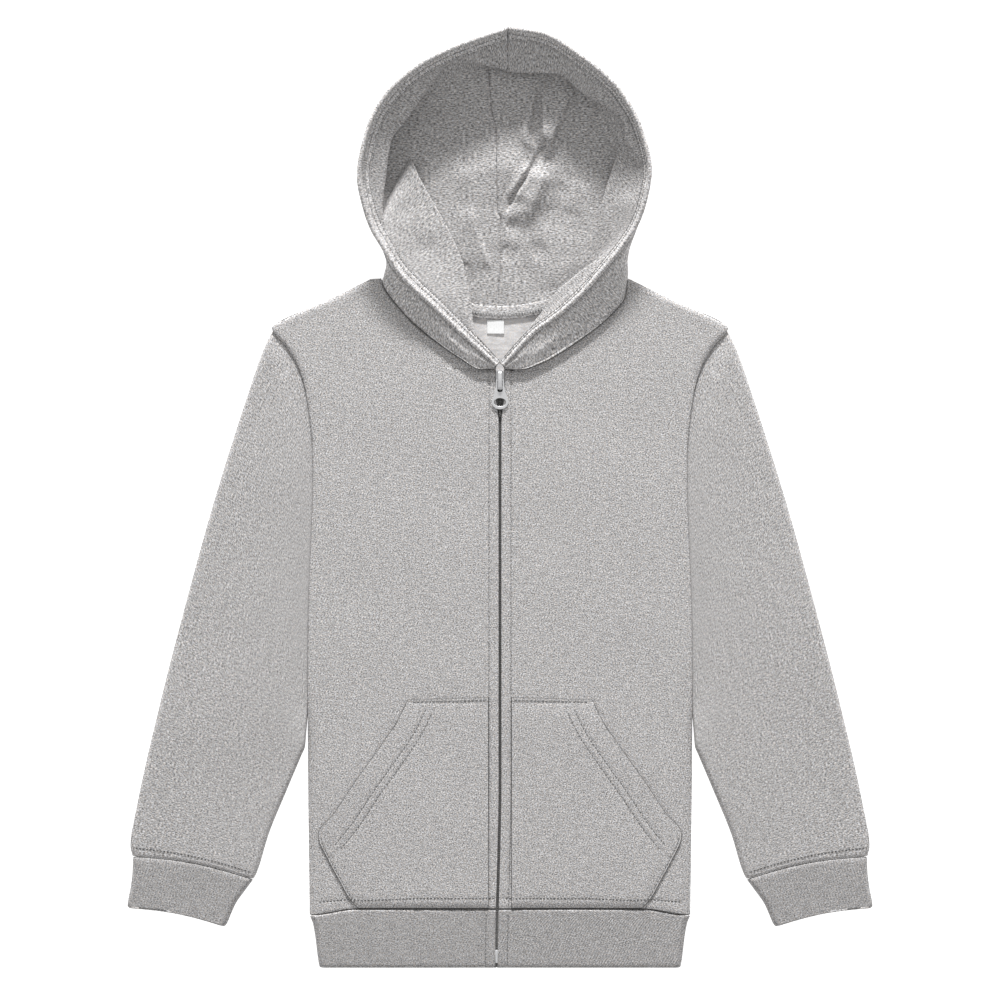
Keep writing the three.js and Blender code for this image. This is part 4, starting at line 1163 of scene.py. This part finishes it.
def hood_skin(side, sign, along, inward):
    """The hood's outer skin: inward runs from the rim (0) down the wall (1) to the centre seam (2)."""
    read = hood_read[side]
    rim = [read[f"rim_{axis}"](along) for axis in "xyz"]
    foot = [read[f"foot_{axis}"](along) for axis in "xyz"]
    down = np.minimum(1, inward)
    x, y = lerp(rim[0], foot[0], down), lerp(rim[1], foot[1], down)
    z = lerp(rim[2], foot[2], WALL_BELLY(down))
    over = np.clip(inward - 1, 0, 1)
    up = np.clip((along - HOOD_NECK_ROW) / (HOOD_TOP_ROW - HOOD_NECK_ROW), 0, 1)
    seam_y = lerp(HOOD_SEAM["from"], HOOD_SEAM["to"], up)
    floor_x = lerp(foot[0], 0.0, over)
    nape = back_neck(floor_x) + 0.8 + (foot[1] - back_neck(foot[0]) - 0.8) * (1 - over) ** 5
    floor_y = lerp(nape, lerp(foot[1], seam_y, over), np.minimum(1, 4 * up))
    on_floor = inward > 1
    x, y = np.where(on_floor, floor_x, x), np.where(on_floor, floor_y, y)
    z = np.where(on_floor, z * (1 - over) ** 2, z)
    return np.stack([sign * x, y, z], axis=-1)


def hood_layer(side, sign, along, inward, distance):
    """The skin moved towards the face along its own normal."""
    step = 0.06
    at = np.clip(along, step, HOOD_TOP_ROW - step)
    into = np.clip(inward, step, 2 - step)
    up = hood_skin(side, sign, at + step, into) - hood_skin(side, sign, at - step, into)
    across = hood_skin(side, sign, at, into + step) - hood_skin(side, sign, at, into - step)
    normal = np.cross(across, up) * -sign
    normal /= np.maximum(np.linalg.norm(normal, axis=-1, keepdims=True), 1e-9)
    return hood_skin(side, sign, along, inward) + normal * np.asarray(distance)[..., None]


def to_centre(points, sign, along):
    """Points near the crown moved over so that both sides meet at the band's centre seam."""
    near = smoothstep(along, 11, HOOD_TOP_ROW)
    moved = points.copy()
    middle = TOP_CENTRE * near
    moved[..., 0] = np.where(sign * points[..., 0] < 0, 0, points[..., 0]) + middle * bell(points[..., 0], 45)
    return moved


def rim_frame(side, sign, along):
    """The rim and the directions along it and into the hood, seen from above."""
    step = 0.12
    read = hood_read[side]
    rim = np.stack([sign * read["rim_x"](along), read["rim_y"](along), read["rim_z"](along)], axis=-1)
    before, after = np.clip(along - step, 0, HOOD_TOP_ROW), np.clip(along + step, 0, HOOD_TOP_ROW)
    run_x = sign * (read["rim_x"](after) - read["rim_x"](before))
    run_y = read["rim_y"](after) - read["rim_y"](before)
    length = np.hypot(run_x, run_y)
    inward = np.stack([-sign * run_y / length, sign * run_x / length], axis=-1)
    top = smoothstep(along, 13.2, 14)[..., None]
    inward = lerp(inward, np.array([0.0, -1.0]), top)
    return rim, inward / np.linalg.norm(inward, axis=-1, keepdims=True)


def band_fall(along):
    """How far the band falls from the rim to its free edge."""
    return lerp(6, 13, smoothstep(along, 2, 8))


def band_point(side, sign, along, out, lift=0.0):
    """A place on the band inside the rim: out from it in plan, falling away from it."""
    rim, inward = rim_frame(side, sign, along)
    fall = band_fall(along)
    reach = 14.0
    z = rim[..., 2] - RIM_RADIUS - fall * (1 - np.exp(-out / reach)) + 0.4
    slope = fall / reach * np.exp(-out / reach)
    steep = np.sqrt(1 + slope**2)
    x = rim[..., 0] + inward[..., 0] * (out + lift * slope / steep)
    y = rim[..., 1] + inward[..., 1] * (out + lift * slope / steep)
    x = sign * np.maximum(sign * x, 0)
    return to_centre(np.stack([x, y, z + lift / steep], axis=-1), sign, along)


def hood_relief(along, inward):
    return 0.5 * waves(along * 14, inward * 40, 38, 71) + 0.25 * waves(along * 14, inward * 40, 17, 72)


LOW_WALL = 12.0


def hood_outer(side, sign):
    stations = np.linspace(0, HOOD_TOP_ROW, 150)
    floor_steps = np.linspace(2, 1, 26)
    wall_steps = np.linspace(1, 0.12, 22)[1:]
    low_wall_steps = np.linspace(1, 0.3, 22)[1:]
    turns = np.radians(np.linspace(-75, 90, 10))
    leg_shares = np.array([0.08, 0.2, 0.32, 0.44, 0.5, 0.56, 0.68, 0.8, 0.88, 0.94, 1.0])
    outer, inner = [], []
    for at in stations:
        along = np.array([at])
        at_rim = hood_skin(side, sign, along, np.array([0.0]))
        at_foot = hood_skin(side, sign, along, np.array([1.0]))
        wall = float(np.linalg.norm(at_rim - at_foot))
        size = RIM_RADIUS * float(lerp(0.75, 1, smoothstep(at, 0, 1.5)))
        steps = np.concatenate([floor_steps, wall_steps if wall > LOW_WALL else low_wall_steps])
        ats = np.full(len(steps), at)
        relief = (hood_relief(ats, steps) * smoothstep(steps, 0.15, 0.5) * (steps < 1)
                  * smoothstep(1 - steps, 0, 0.3))
        curl = -0.8 * smoothstep(steps, 0.86, 1) * (at < HOOD_NECK_ROW)
        skin = hood_layer(side, sign, ats, steps, relief) + curl[:, None] * np.array([0, 0, 1])
        under = hood_layer(side, sign, ats, steps, relief + HOOD_CLOTH) + curl[:, None] * np.array([0, 0, 1])
        rim, inward = rim_frame(side, sign, along)
        rim, inward = rim[0], inward[0]
        centre = rim + np.array([inward[0] * size, inward[1] * size, -size * 0.6])
        slope = 0.62
        into = np.array([inward[0], inward[1], -slope])
        into /= np.linalg.norm(into)
        up = np.array([inward[0] * slope, inward[1] * slope, 1.0])
        up /= np.linalg.norm(up)
        roll_out = [centre - into * size * math.cos(t) + up * size * math.sin(t) for t in turns]
        small = size - HOOD_CLOTH
        roll_in = [centre - into * small * math.cos(t) + up * small * math.sin(t) for t in turns]
        out = size + leg_shares * max(1.0, float(rim_hem[side](at)) - size)
        legs = np.full(len(out), at)
        groove = sum(-0.4 * bell(leg_shares - share, 0.07) for share in RIM_HEM_STITCHES)
        pucker = 0.12 * waves(legs * 60, out * 4, 24, 81)
        leg_out = band_point(side, sign, legs, out, size + groove + pucker)
        leg_in = band_point(side, sign, legs, out, size - HOOD_CLOTH + groove + pucker)
        first = [to_centre(np.concatenate([skin, roll_out]), sign, at), leg_out]
        second = [to_centre(np.concatenate([under, roll_in]), sign, at), leg_in]
        outer.append(np.concatenate(first))
        inner.append(np.concatenate(second))
    outer, inner = np.array(outer), np.array(inner)
    outer[..., 2] = np.maximum(outer[..., 2], 0)
    inner[..., 2] = np.maximum(inner[..., 2], HOOD_CLOTH)
    quads, flat = grid(*outer.shape[:2])
    rows, columns = outer.shape[:2]
    quad_row = quads[:, 0] // columns
    quad_column = quads[:, 0] % columns
    kept = (quad_column >= len(floor_steps) - 1) | (stations[quad_row] >= HOOD_NECK_ROW)
    quads, flat = quads[kept], flat[kept]
    across = np.linalg.norm(np.diff(outer, axis=1, prepend=outer[:, :1]), axis=2).cumsum(axis=1)
    along_rim = np.linalg.norm(np.diff(outer[:, -12], axis=0, prepend=outer[:1, -12]), axis=1).cumsum()
    cloth = np.stack([across, np.repeat(along_rim[:, None], columns, 1)], axis=2)
    cloths = [HOOD_JERSEY_PAINTED_LIGHT, LINING_JERSEY, EDGE_PAINTED_SHADE]
    made = shell(f"cloth_hood_{side}", outer, inner, quads, flat, cloth, cloths)
    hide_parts(f"hood_outer_{side}")
    return made


def hood_facing(side, sign):
    stations = np.linspace(0.9, HOOD_TOP_ROW, 170)
    shares = np.concatenate([np.linspace(0, 0.85, 22), np.linspace(0.85, 1, 7)[1:]])
    start = band_point(side, sign, stations, 2.4)
    rim, _ = rim_frame(side, sign, stations)
    edge = np.stack([sign * facing_edge[side][axis](stations) if axis == "x"
                     else facing_edge[side][axis](stations)
                     for axis in "xy"], axis=1)
    out = np.linalg.norm(edge - rim[:, :2], axis=1)[:, None] * shares[None, :]
    plan = start[:, None, :2] + (edge - start[:, :2])[:, None, :] * shares[None, :, None]
    along = np.repeat(stations[:, None], len(shares), 1)
    relief = 0.35 * waves(along * 15, out, 30, 91) - 0.5 * bell(1 - shares, 0.05)[None, :]
    z = rim[:, 2:] - RIM_RADIUS + 0.8 - band_fall(stations)[:, None] * (1 - np.exp(-out / 14.0)) + relief
    outer = np.concatenate([plan, z[..., None]], axis=2)
    inner = outer - np.array([0, 0, LINING_CLOTH])
    rim_length = np.linalg.norm(np.diff(outer[:, 0], axis=0, prepend=outer[:1, 0]), axis=1).cumsum()
    cloth = np.stack([out, np.repeat(rim_length[:, None], len(shares), 1)], axis=2)
    quads, flat = grid(*outer.shape[:2])
    made = shell(f"cloth_facing_{side}", outer, inner, quads, flat, cloth, [LINING_JERSEY])
    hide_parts(f"hood_facing_{side}")
    return made


RIM_PATH = [(-x, y) for x, y in zip(HOOD["left"]["rim_x"], HOOD["left"]["rim_y"])]
RIM_PATH += [(x, y) for x, y in zip(HOOD["right"]["rim_x"][::-1], HOOD["right"]["rim_y"][::-1])]
centre_seam = curve(CENTRE_SEAM, "y", "x")
gap_line = curve(GAP_LINE, "y", "x")
lining_edge = {side: curve(LINING_EDGE, "y", side) for side, _ in SIDES}


def lining_height(x, y):
    """Upper face of the lining at a place inside the hood."""
    rim_distance = np.abs(from_path(x, y, RIM_PATH)[0])
    wall = 11.0 * np.clip(1 - rim_distance / 26, 0, 1) ** 1.6 * smoothstep(y, 496, 524)
    top = 2.5 * smoothstep(y, 575, 622)
    folds = 0
    for fold in LINING_FOLDS:
        away, share = from_path(x, y, smooth_path(fold["path"], 4))
        width = np.where(away > 0, fold["left"], fold["right"])
        ends = smoothstep(share, -0.05, 0.25) * (1 - smoothstep(share, 0.75, 1.05))
        folds = folds + fold["height"] * np.exp(-((np.abs(away) / width) ** 1.7)) * ends
    seam = x - centre_seam(y)
    sewn = -0.8 * bell(seam, 0.8) + 0.35 * bell(np.abs(seam) - 2.6, 1.8)
    gap = x - gap_line(y)
    deep = -3.4 * bell(gap, 2.0) * smoothstep(y, 520, 532) * (1 - smoothstep(y, 560, 575))
    clear_of_nape = smoothstep(y - back_neck(x), 6, 24)
    loose = 0.35 * waves(x, y, 40, 101) + 0.12 * waves(x, y, 15, 102)
    return 3.1 + wall + top + (folds + sewn + deep + loose) * clear_of_nape


def knots(left, right, count):
    """Places from one line to the next, closer together near both."""
    share = (1 - np.cos(np.linspace(0, math.pi, count))) / 2
    share = 0.5 * share + 0.5 * np.linspace(0, 1, count)
    return lerp(left[:, None], right[:, None], share[None, :])


def hood_lining(side, sign):
    rows = np.linspace(450.6, 628, 150)
    seam, edge = centre_seam(rows), sign * lining_edge[side](rows)
    if side == "left":
        columns = knots(edge, seam - 0.02, 84)
    else:
        gap = gap_line(rows)
        columns = np.concatenate([knots(seam + 0.02, gap, 20)[:, :-1], knots(gap, edge, 74)], axis=1)
    x = columns
    base = np.repeat(rows[:, None], x.shape[1], 1)
    fade = 1 - smoothstep(base, 451, 520)
    y = base + (back_neck(x) - BACK_NECK["low"]) * fade
    z = lining_height(x, y)
    outer = np.stack([x, y, z], axis=2)
    inner = outer.copy()
    inner[..., 2] = np.maximum(outer[..., 2] - LINING_CLOTH, 1.6)
    outer[..., 2] = np.maximum(outer[..., 2], 2.2)
    quads, flat = grid(*outer.shape[:2])
    made = shell(f"cloth_lining_{side}", outer, inner, quads, flat, outer[..., :2], [LINING_JERSEY], roll=0.2)
    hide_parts(f"hood_lining_{side}")
    return made


def side_fold(side, sign):
    """The side of the hood folded over the lining, with a rounded free edge turned under."""
    rows = SIDE_FOLD[side]
    read = {name: curve(rows, "at", name) for name in SIDE_FOLD_COLUMNS.split()[1:]}
    stations = np.linspace(0, 1, 110)
    shares = 1 - (1 - np.linspace(0, 1, 34)) ** 1.25
    turns = np.radians(np.linspace(90, -90, 9))[1:]
    back_steps = np.array([1.5, 3, 5, 7.5])
    radius, cloth = 1.35, 1.0
    outer, inner = [], []
    for at in stations:
        start = band_point(side, sign, float(read["along"](at)), float(read["out"](at)), 0.9)
        start = start - np.array([0, 0, float(read["drop"](at))])
        edge = np.array([sign * float(read["edge_x"](at)), float(read["edge_y"](at)),
                         float(read["edge_z"](at))])
        run = edge - start
        plan = run[:2] / np.linalg.norm(run[:2])
        along_x, along_y = start[0] + run[0] * shares, start[1] + run[1] * shares
        sag = -0.16 * abs(run[2]) * np.sin(math.pi * shares)
        soft = (0.6 * waves(along_x, along_y, 40, 111)
                + 0.3 * waves(along_x, along_y, 15, 112)) * np.sin(math.pi * shares)
        z = np.maximum(start[2] + run[2] * shares + sag + soft, 2.4)
        top = np.stack([along_x, along_y, z], 1)
        level = z[-1] - radius
        roll = np.stack([edge[0] + plan[0] * radius * np.cos(turns),
                         edge[1] + plan[1] * radius * np.cos(turns),
                         level + radius * np.sin(turns)], 1)
        back_out = np.stack([edge[0] - plan[0] * back_steps, edge[1] - plan[1] * back_steps,
                             np.full(len(back_steps), level - radius)], 1)
        small = radius - cloth
        top_in = top - np.array([0, 0, cloth])
        roll_in = np.stack([edge[0] + plan[0] * small * np.cos(turns),
                            edge[1] + plan[1] * small * np.cos(turns),
                            level + small * np.sin(turns)], 1)
        back_in = back_out + np.array([0, 0, cloth])
        outer.append(np.concatenate([top, roll, back_out]))
        inner.append(np.concatenate([top_in, roll_in, back_in]))
    outer, inner = np.array(outer), np.array(inner)
    outer[..., 2] = np.maximum(outer[..., 2], 0.2)
    inner[..., 2] = np.maximum(inner[..., 2], 0.7)
    far = np.linalg.norm(np.diff(outer, axis=1, prepend=outer[:, :1]), axis=2).cumsum(axis=1)
    length = np.linalg.norm(np.diff(outer[:, 20], axis=0, prepend=outer[:1, 20]), axis=1).cumsum()
    cloth_map = np.stack([far, np.repeat(length[:, None], outer.shape[1], 1)], axis=2)
    quads, flat = grid(*outer.shape[:2])
    made = shell(f"cloth_side_fold_{side}", outer, inner, quads, flat, cloth_map, [LINING_JERSEY])
    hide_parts(f"hood_lining_{side}")
    return made


def neck_tape():
    t = NECK_TAPE
    xs = np.linspace(-t["half_length"], t["half_length"], 90)
    shares = np.linspace(0, 1, 9)
    offset = lerp(-t["below"], t["above"], shares)
    x = np.repeat(xs[None, :], len(shares), 0)
    y = back_neck(x) + offset[:, None]
    crown = np.sin(math.pi * shares)[:, None]
    z = (t["bottom"] + t["cloth"] + 0.2 * smoothstep(offset, 1, 7)[:, None] + 0.2 * crown
         + 0.05 * waves(x, y, 9, 121))
    outer = np.stack([x, y, z], axis=2)
    inner = outer - np.array([0, 0, t["cloth"]])
    quads, flat = grid(*outer.shape[:2])
    made = shell("cloth_neck_tape", outer, inner, quads, flat, outer[..., :2], [HOOD_JERSEY_PAINTED_LIGHT], roll=0.8)
    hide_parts("neck_tape")
    return made


def size_label():
    s = SIZE_LABEL
    x, y = np.meshgrid(np.linspace(s["left"], s["right"], 14), np.linspace(s["bottom"], s["top"], 12))
    z = s["under"] + s["thick"] + 0.15 * smoothstep(y, 441, 447.2) + 0.1 * np.sin((x + 3) * 0.28)
    outer = np.stack([x, y, z], axis=2)
    inner = outer - np.array([0, 0, s["thick"]])
    quads, flat = grid(*outer.shape[:2])
    made = shell("satin_label", outer, inner, quads, flat, outer[..., :2], [SATIN], roll=0.6)
    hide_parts("size_label")
    return made


# The zip


def zip_tape(side, sign):
    rows = np.linspace(2, 409, 130)
    offsets = np.array([0.9, 1.4, 2.4, 5, 8, 11])
    x = zip_middle(rows)[:, None] + sign * offsets[None, :]
    y = np.repeat(rows[:, None], len(offsets), 1)
    z = np.full_like(x, 5.1)
    outer = np.stack([x, y, z], axis=2)
    inner = outer - np.array([0, 0, 1.0])
    quads, flat = grid(*outer.shape[:2])
    made = shell(f"woven_tape_{side}", outer, inner, quads, flat, outer[..., :2], [ZIP_TAPE_WEAVE], roll=0.3)
    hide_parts(f"zip_tape_{side}")
    return made


def zip_coil(side, sign):
    pitch = 1.45
    y = np.arange(4, 399, pitch) + (0 if sign < 0 else pitch / 2)
    middle = zip_middle(y)
    top = 5.75
    starts = np.stack([middle + sign * 1.2, y + 0.3 * sign, np.full_like(y, top - 0.35)], 1)
    ends = np.stack([middle - sign * 0.45, y, np.full_like(y, top)], 1)
    made = beads(f"coil_{side}", starts, ends, 0.42, COIL, sides=8)
    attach(made, "garment")
    return made


def joined(name, parts, material, body, replaces=()):
    bpy.ops.object.select_all(action="DESELECT")
    for part in parts:
        part.select_set(True)
    bpy.context.view_layer.objects.active = parts[0]
    bpy.ops.object.join()
    made = parts[0]
    made.name = name
    made.data.materials.clear()
    made.data.materials.append(material)
    if replaces:
        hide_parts(*replaces)
    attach(made, body)
    return made


def rounded_plate(outlines, thick, bevel, centre):
    """A flat plate from outlines in x and y, the first its edge and the others holes, with soft edges."""
    drawing = bpy.data.curves.new("plate", "CURVE")
    drawing.dimensions = "2D"
    drawing.fill_mode = "BOTH"
    drawing.extrude = (thick / 2 - bevel) * MM
    drawing.bevel_depth = bevel * MM
    drawing.bevel_resolution = 2
    drawing.offset = -bevel * MM
    for outline in outlines:
        spline = drawing.splines.new("POLY")
        spline.points.add(len(outline) - 1)
        for point, (x, y) in zip(spline.points, outline):
            point.co = (x * MM, y * MM, 0, 1)
        spline.use_cyclic_u = True
    holder = bpy.data.objects.new("plate", drawing)
    bpy.context.scene.collection.objects.link(holder)
    bpy.context.view_layer.update()
    mesh = bpy.data.meshes.new_from_object(holder.evaluated_get(bpy.context.evaluated_depsgraph_get()))
    bpy.data.objects.remove(holder)
    shift = (centre[0] * MM, (centre[1] - HEM_TO_ORIGIN) * MM, centre[2] * MM)
    mesh.transform(Matrix.Translation(shift))
    made = bpy.data.objects.new("plate", mesh)
    bpy.context.scene.collection.objects.link(made)
    return made


def swept_bar(path, width, thick, centre_x=0.0):
    """A rounded strap along a path in y and z."""
    path = smooth_path(path, 0.35)
    turns = np.linspace(0, 2 * math.pi, 17)[:-1]
    power = 0.55
    section_x = np.sign(np.cos(turns)) * np.abs(np.cos(turns)) ** power * width / 2
    section_n = np.sign(np.sin(turns)) * np.abs(np.sin(turns)) ** power * thick / 2
    run = np.gradient(path, axis=0)
    run /= np.linalg.norm(run, axis=1, keepdims=True)
    normal = np.stack([-run[:, 1], run[:, 0]], 1)
    points = []
    for p, n in zip(path, normal):
        points.append(np.stack([centre_x + section_x, p[0] + n[0] * section_n, p[1] + n[1] * section_n], 1))
    points = np.array(points)
    rows, columns = points.shape[:2]
    quads, _ = grid(rows, columns, around=True)
    caps = [np.arange(columns)[::-1], np.arange(columns) + (rows - 1) * columns]
    mesh = bpy.data.meshes.new("bar")
    mesh.from_pydata(place(points.reshape(-1, 3)).tolist(), [],
                     [*quads.tolist(), *(cap.tolist() for cap in caps)])
    mesh.polygons.foreach_set("use_smooth", np.ones(len(mesh.polygons), bool))
    mesh.update()
    made = bpy.data.objects.new("bar", mesh)
    bpy.context.scene.collection.objects.link(made)
    return made


def arc(centre_x, centre_y, radius_x, radius_y, start, end, count):
    turns = np.radians(np.linspace(start, end, count))
    return [(centre_x + radius_x * math.cos(t), centre_y + radius_y * math.sin(t)) for t in turns]


def slider():
    pivot = 405.6
    plate_outline = [
        *arc(0, 4.2, 3.0, 2.8, 0, 180, 14),
        (-2.9, 1.0),
        (-2.2, -4.2),
        *arc(0, -5.0, 2.0, 2.0, 180, 360, 12),
        (2.2, -4.2),
        (2.9, 1.0),
    ]
    plate = rounded_plate([plate_outline], 0.9, 0.3, (0, pivot, 6.95))
    base = rounded_plate([plate_outline], 1.0, 0.3, (0, pivot, 3.0))
    post = swept_bar([(410.0, 3.2), (410.4, 5.0), (410.8, 6.8)], 1.7, 1.8)
    bridge = swept_bar(
        [(399.5, 7.2), (399.5, 8.6), (400.3, 9.9), (402.6, 10.35),
         (408.6, 10.35), (410.9, 9.9), (411.7, 8.6), (411.7, 7.2)],
        2.7,
        1.05,
    )
    return joined("metal_slider", [plate, base, post, bridge], METAL, "garment", ["zip_slider"])


def pull():
    edge = [
        (-2.7, 0.6),
        (-3.0, -4.4),
        (-3.8, -8.2),
        (-4.9, -11.8),
        *arc(0, -15.2, 5.75, 4.95, 158, 382, 30),
        (4.9, -11.8),
        (3.8, -8.2),
        (3.0, -4.4),
        (2.7, 0.6),
    ]
    slot = [(-1.75, -0.55), (-1.75, -7.6), *arc(0, -7.6, 1.75, 0.5, 180, 360, 8), (1.75, -7.6), (1.75, -0.55)]
    hole = arc(0, -15.2, 4.1, 2.8, 0, 345, 28)
    plate = rounded_plate([edge, slot, hole], 1.0, 0.28, (0, 405.6, 8.4))
    return joined("metal_pull", [plate], METAL, "pull_tab", ["zip_pull"])


def zip_box():
    middle = float(zip_middle(8))
    box = rounded_plate([[(-0.9, -4.5), (0.9, -4.5), (0.9, 4.5), (-0.9, 4.5)]], 1.5, 0.35, (middle, 8, 7.2))
    return joined("metal_box", [box], METAL, "garment", ["zip_box"])


# Sewing


def over(path, height, lift=0.12):
    """A path in plan laid on a surface."""
    path = np.asarray(path, float)
    z = height(path[:, 0], path[:, 1]) + lift
    return np.concatenate([path, z[:, None]], axis=1)


def hem_height(x, y):
    relief = 0.06 * waves(x, y * 0.6, 11, 61) + 0.25 * waves(x, y, 90, 62)
    seam = 0.5 + 0.3 * smoothstep(y, 38.6, 40.6) + 0.6 * (1 - smoothstep(y, 0, 2.2))
    return HEM_TOP + placket(x, y) + relief - seam


def hem_stitches():
    across = np.arange(3, 127, 1.5)
    paths = [over(np.stack([sign * across, hem_stitch(across)], 1), hem_stitch_height) for _, sign in SIDES]
    return stitches("stitches_hem", paths, DARK_THREAD, radius=0.28, pitch=2.4, length=1.6)


def body_stitches():
    paths = []
    for _, sign in SIDES:
        up = np.arange(42, 411, 1.5)
        paths.append(over(np.stack([zip_middle(up) + sign * PLACKET_STITCH, up], 1), front_top))
        low = np.arange(2.5, 39, 1.5)
        paths.append(over(np.stack([zip_middle(low) + sign * PLACKET_STITCH, low], 1), hem_height))
    return stitches("stitches_body", paths, THREAD)


def pocket_surface(x, y):
    return front_top(x, y) + pocket_lift(x, y)


def hem_stitch_height(x, y):
    """The hem's topstitch crosses the front beside the pockets and the pockets themselves."""
    on_pocket = (np.abs(x) > POCKET["inner"]) & (np.abs(x) < pocket_edge(y))
    return np.where(on_pocket, pocket_surface(x, y), front_top(x, y))


def inset_path(path, distance):
    """A path moved to its left, towards the zip."""
    path = smooth_path(path, 2)
    run = np.gradient(path, axis=0)
    run /= np.linalg.norm(run, axis=1, keepdims=True)
    return path + np.stack([-run[:, 1], run[:, 0]], 1) * distance


def pocket_stitches():
    paths = []
    for _, sign in SIDES:
        for distance in MOUTH_STITCHES:
            path = inset_path(POCKET_MOUTH, distance)
            inside = ((path[:, 0] < pocket_edge(path[:, 1]) - 1.5)
                      & (path[:, 1] < POCKET_TOP - 1) & (path[:, 1] > 44))
            path = path[inside] * np.array([sign, 1])
            paths.append(over(path, pocket_surface))
        y = np.arange(43, 92, 1.5)
        paths.append(over(np.stack([sign * (pocket_edge(y) - 1.9), y], 1), pocket_surface))
        x = np.arange(9, 62, 1.5)
        top = POCKET_TOP + POCKET["top_rise"] * (1 - x / 64) - 1.9
        paths.append(over(np.stack([sign * x, top], 1), pocket_surface))
    return stitches("stitches_pockets", paths, THREAD)


def cuff_stitches():
    paths = []
    for _, sign in SIDES:
        line, height = sleeve_ring(sign, CUFF_STITCH_AT)
        shares = np.linspace(0.035, 0.965, 60)
        plan = line(shares)
        top = height(shares) + sleeve_relief(sign)(plan[:, 0], plan[:, 1]) + 0.12
        paths.append(np.concatenate([plan, top[:, None]], axis=1))
    return stitches("stitches_cuffs", paths, DARK_THREAD, radius=0.3, pitch=2.4, length=1.6)


def rim_stitches():
    paths = []
    for side, sign in SIDES:
        at = np.linspace(0.3, 13.95, 500)
        for share in RIM_HEM_STITCHES:
            size = RIM_RADIUS
            out = size + share * np.maximum(1.0, rim_hem[side](at) - size)
            paths.append(band_point(side, sign, at, out, size - 0.15))
    return stitches("stitches_rim", paths, THREAD, radius=0.24)


def tape_stitches():
    pitch = 1.9
    x = np.arange(-50, 50, pitch)
    low, high = back_neck(x) + 0.2, back_neck(x) + 4.2
    level = NECK_TAPE["bottom"] + NECK_TAPE["cloth"] + 0.35
    starts, ends = [], []
    for i in range(len(x)):
        starts += [(x[i], low[i], level), (x[i], high[i], level + 0.5)]
        ends += [(x[i] + pitch / 2, high[i], level + 0.5), (x[i] + pitch, low[i], level)]
    made = beads("stitches_tape", starts, ends, 0.2, LIGHT_THREAD)
    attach(made, "garment")
    return made


# Stage


def studio():
    floor_mesh = bpy.data.meshes.new("floor")
    reach = 12.0
    corners = [(-reach, -reach, -0.0002), (reach, -reach, -0.0002),
               (reach, reach, -0.0002), (-reach, reach, -0.0002)]
    floor_mesh.from_pydata(corners, [], [(0, 1, 2, 3)])
    floor = bpy.data.objects.new("floor", floor_mesh)
    bpy.context.scene.collection.objects.link(floor)
    paper = plain("paper", (0.3, 0.3, 0.3), 0.9)
    shader = paper.node_tree.nodes["Principled BSDF"]
    shader.inputs["Specular IOR Level"].default_value = 0.0
    for link in list(paper.node_tree.links):
        if link.to_socket == shader.inputs["Base Color"]:
            paper.node_tree.links.remove(link)
    shader.inputs["Emission Color"].default_value = (1, 1, 1, 1)
    shader.inputs["Emission Strength"].default_value = 0.85
    floor_mesh.materials.append(paper)

    world = bpy.data.worlds.new("studio")
    world.use_nodes = True
    world.node_tree.nodes["Background"].inputs["Color"].default_value = (1, 1, 1, 1)
    world.node_tree.nodes["Background"].inputs["Strength"].default_value = 0.56
    bpy.context.scene.world = world

    light = bpy.data.lights.new("softbox", "AREA")
    light.shape = "RECTANGLE"
    light.size = 1.2
    light.size_y = 0.3
    light.energy = 330
    softbox = bpy.data.objects.new("softbox", light)
    softbox.location = (0.0, 4.04, 1.2)
    bpy.context.scene.collection.objects.link(softbox)
    aim = bpy.data.objects.new("softbox_aim", None)
    bpy.context.scene.collection.objects.link(aim)
    towards = softbox.constraints.new("TRACK_TO")
    towards.target = aim
    towards.track_axis = "TRACK_NEGATIVE_Z"
    towards.up_axis = "UP_Y"

    camera_data = bpy.data.cameras.new("camera")
    camera_data.lens = 200
    camera_data.sensor_width = 36
    frame_width = 0.69
    above = frame_width * camera_data.lens / camera_data.sensor_width
    camera = bpy.data.objects.new("camera", camera_data)
    camera.location = (0.0, -0.0015, above + BODY_TOP * MM)
    bpy.context.scene.collection.objects.link(camera)
    bpy.context.scene.camera = camera
    bpy.context.scene.view_settings.view_transform = "Standard"
    bpy.context.scene.view_settings.look = "None"


def dress():
    """Every piece of the garment, on its body."""
    cloth = [back(), waistband()]
    for side, sign in SIDES:
        lining = hood_lining(side, sign)
        cloth += [front(side, sign), pocket(side, sign), sleeve(side, sign), cuff(side, sign)]
        cloth += [hood_outer(side, sign), hood_facing(side, sign), lining, side_fold(side, sign)]
        cloth += [zip_tape(side, sign)]
        zip_coil(side, sign)
    cloth += [neck_tape(), size_label()]
    for piece in cloth:
        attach(piece, "garment")
    slider()
    pull()
    zip_box()
    body_stitches()
    hem_stitches()
    pocket_stitches()
    cuff_stitches()
    rim_stitches()
    tape_stitches()


studio()
dress()
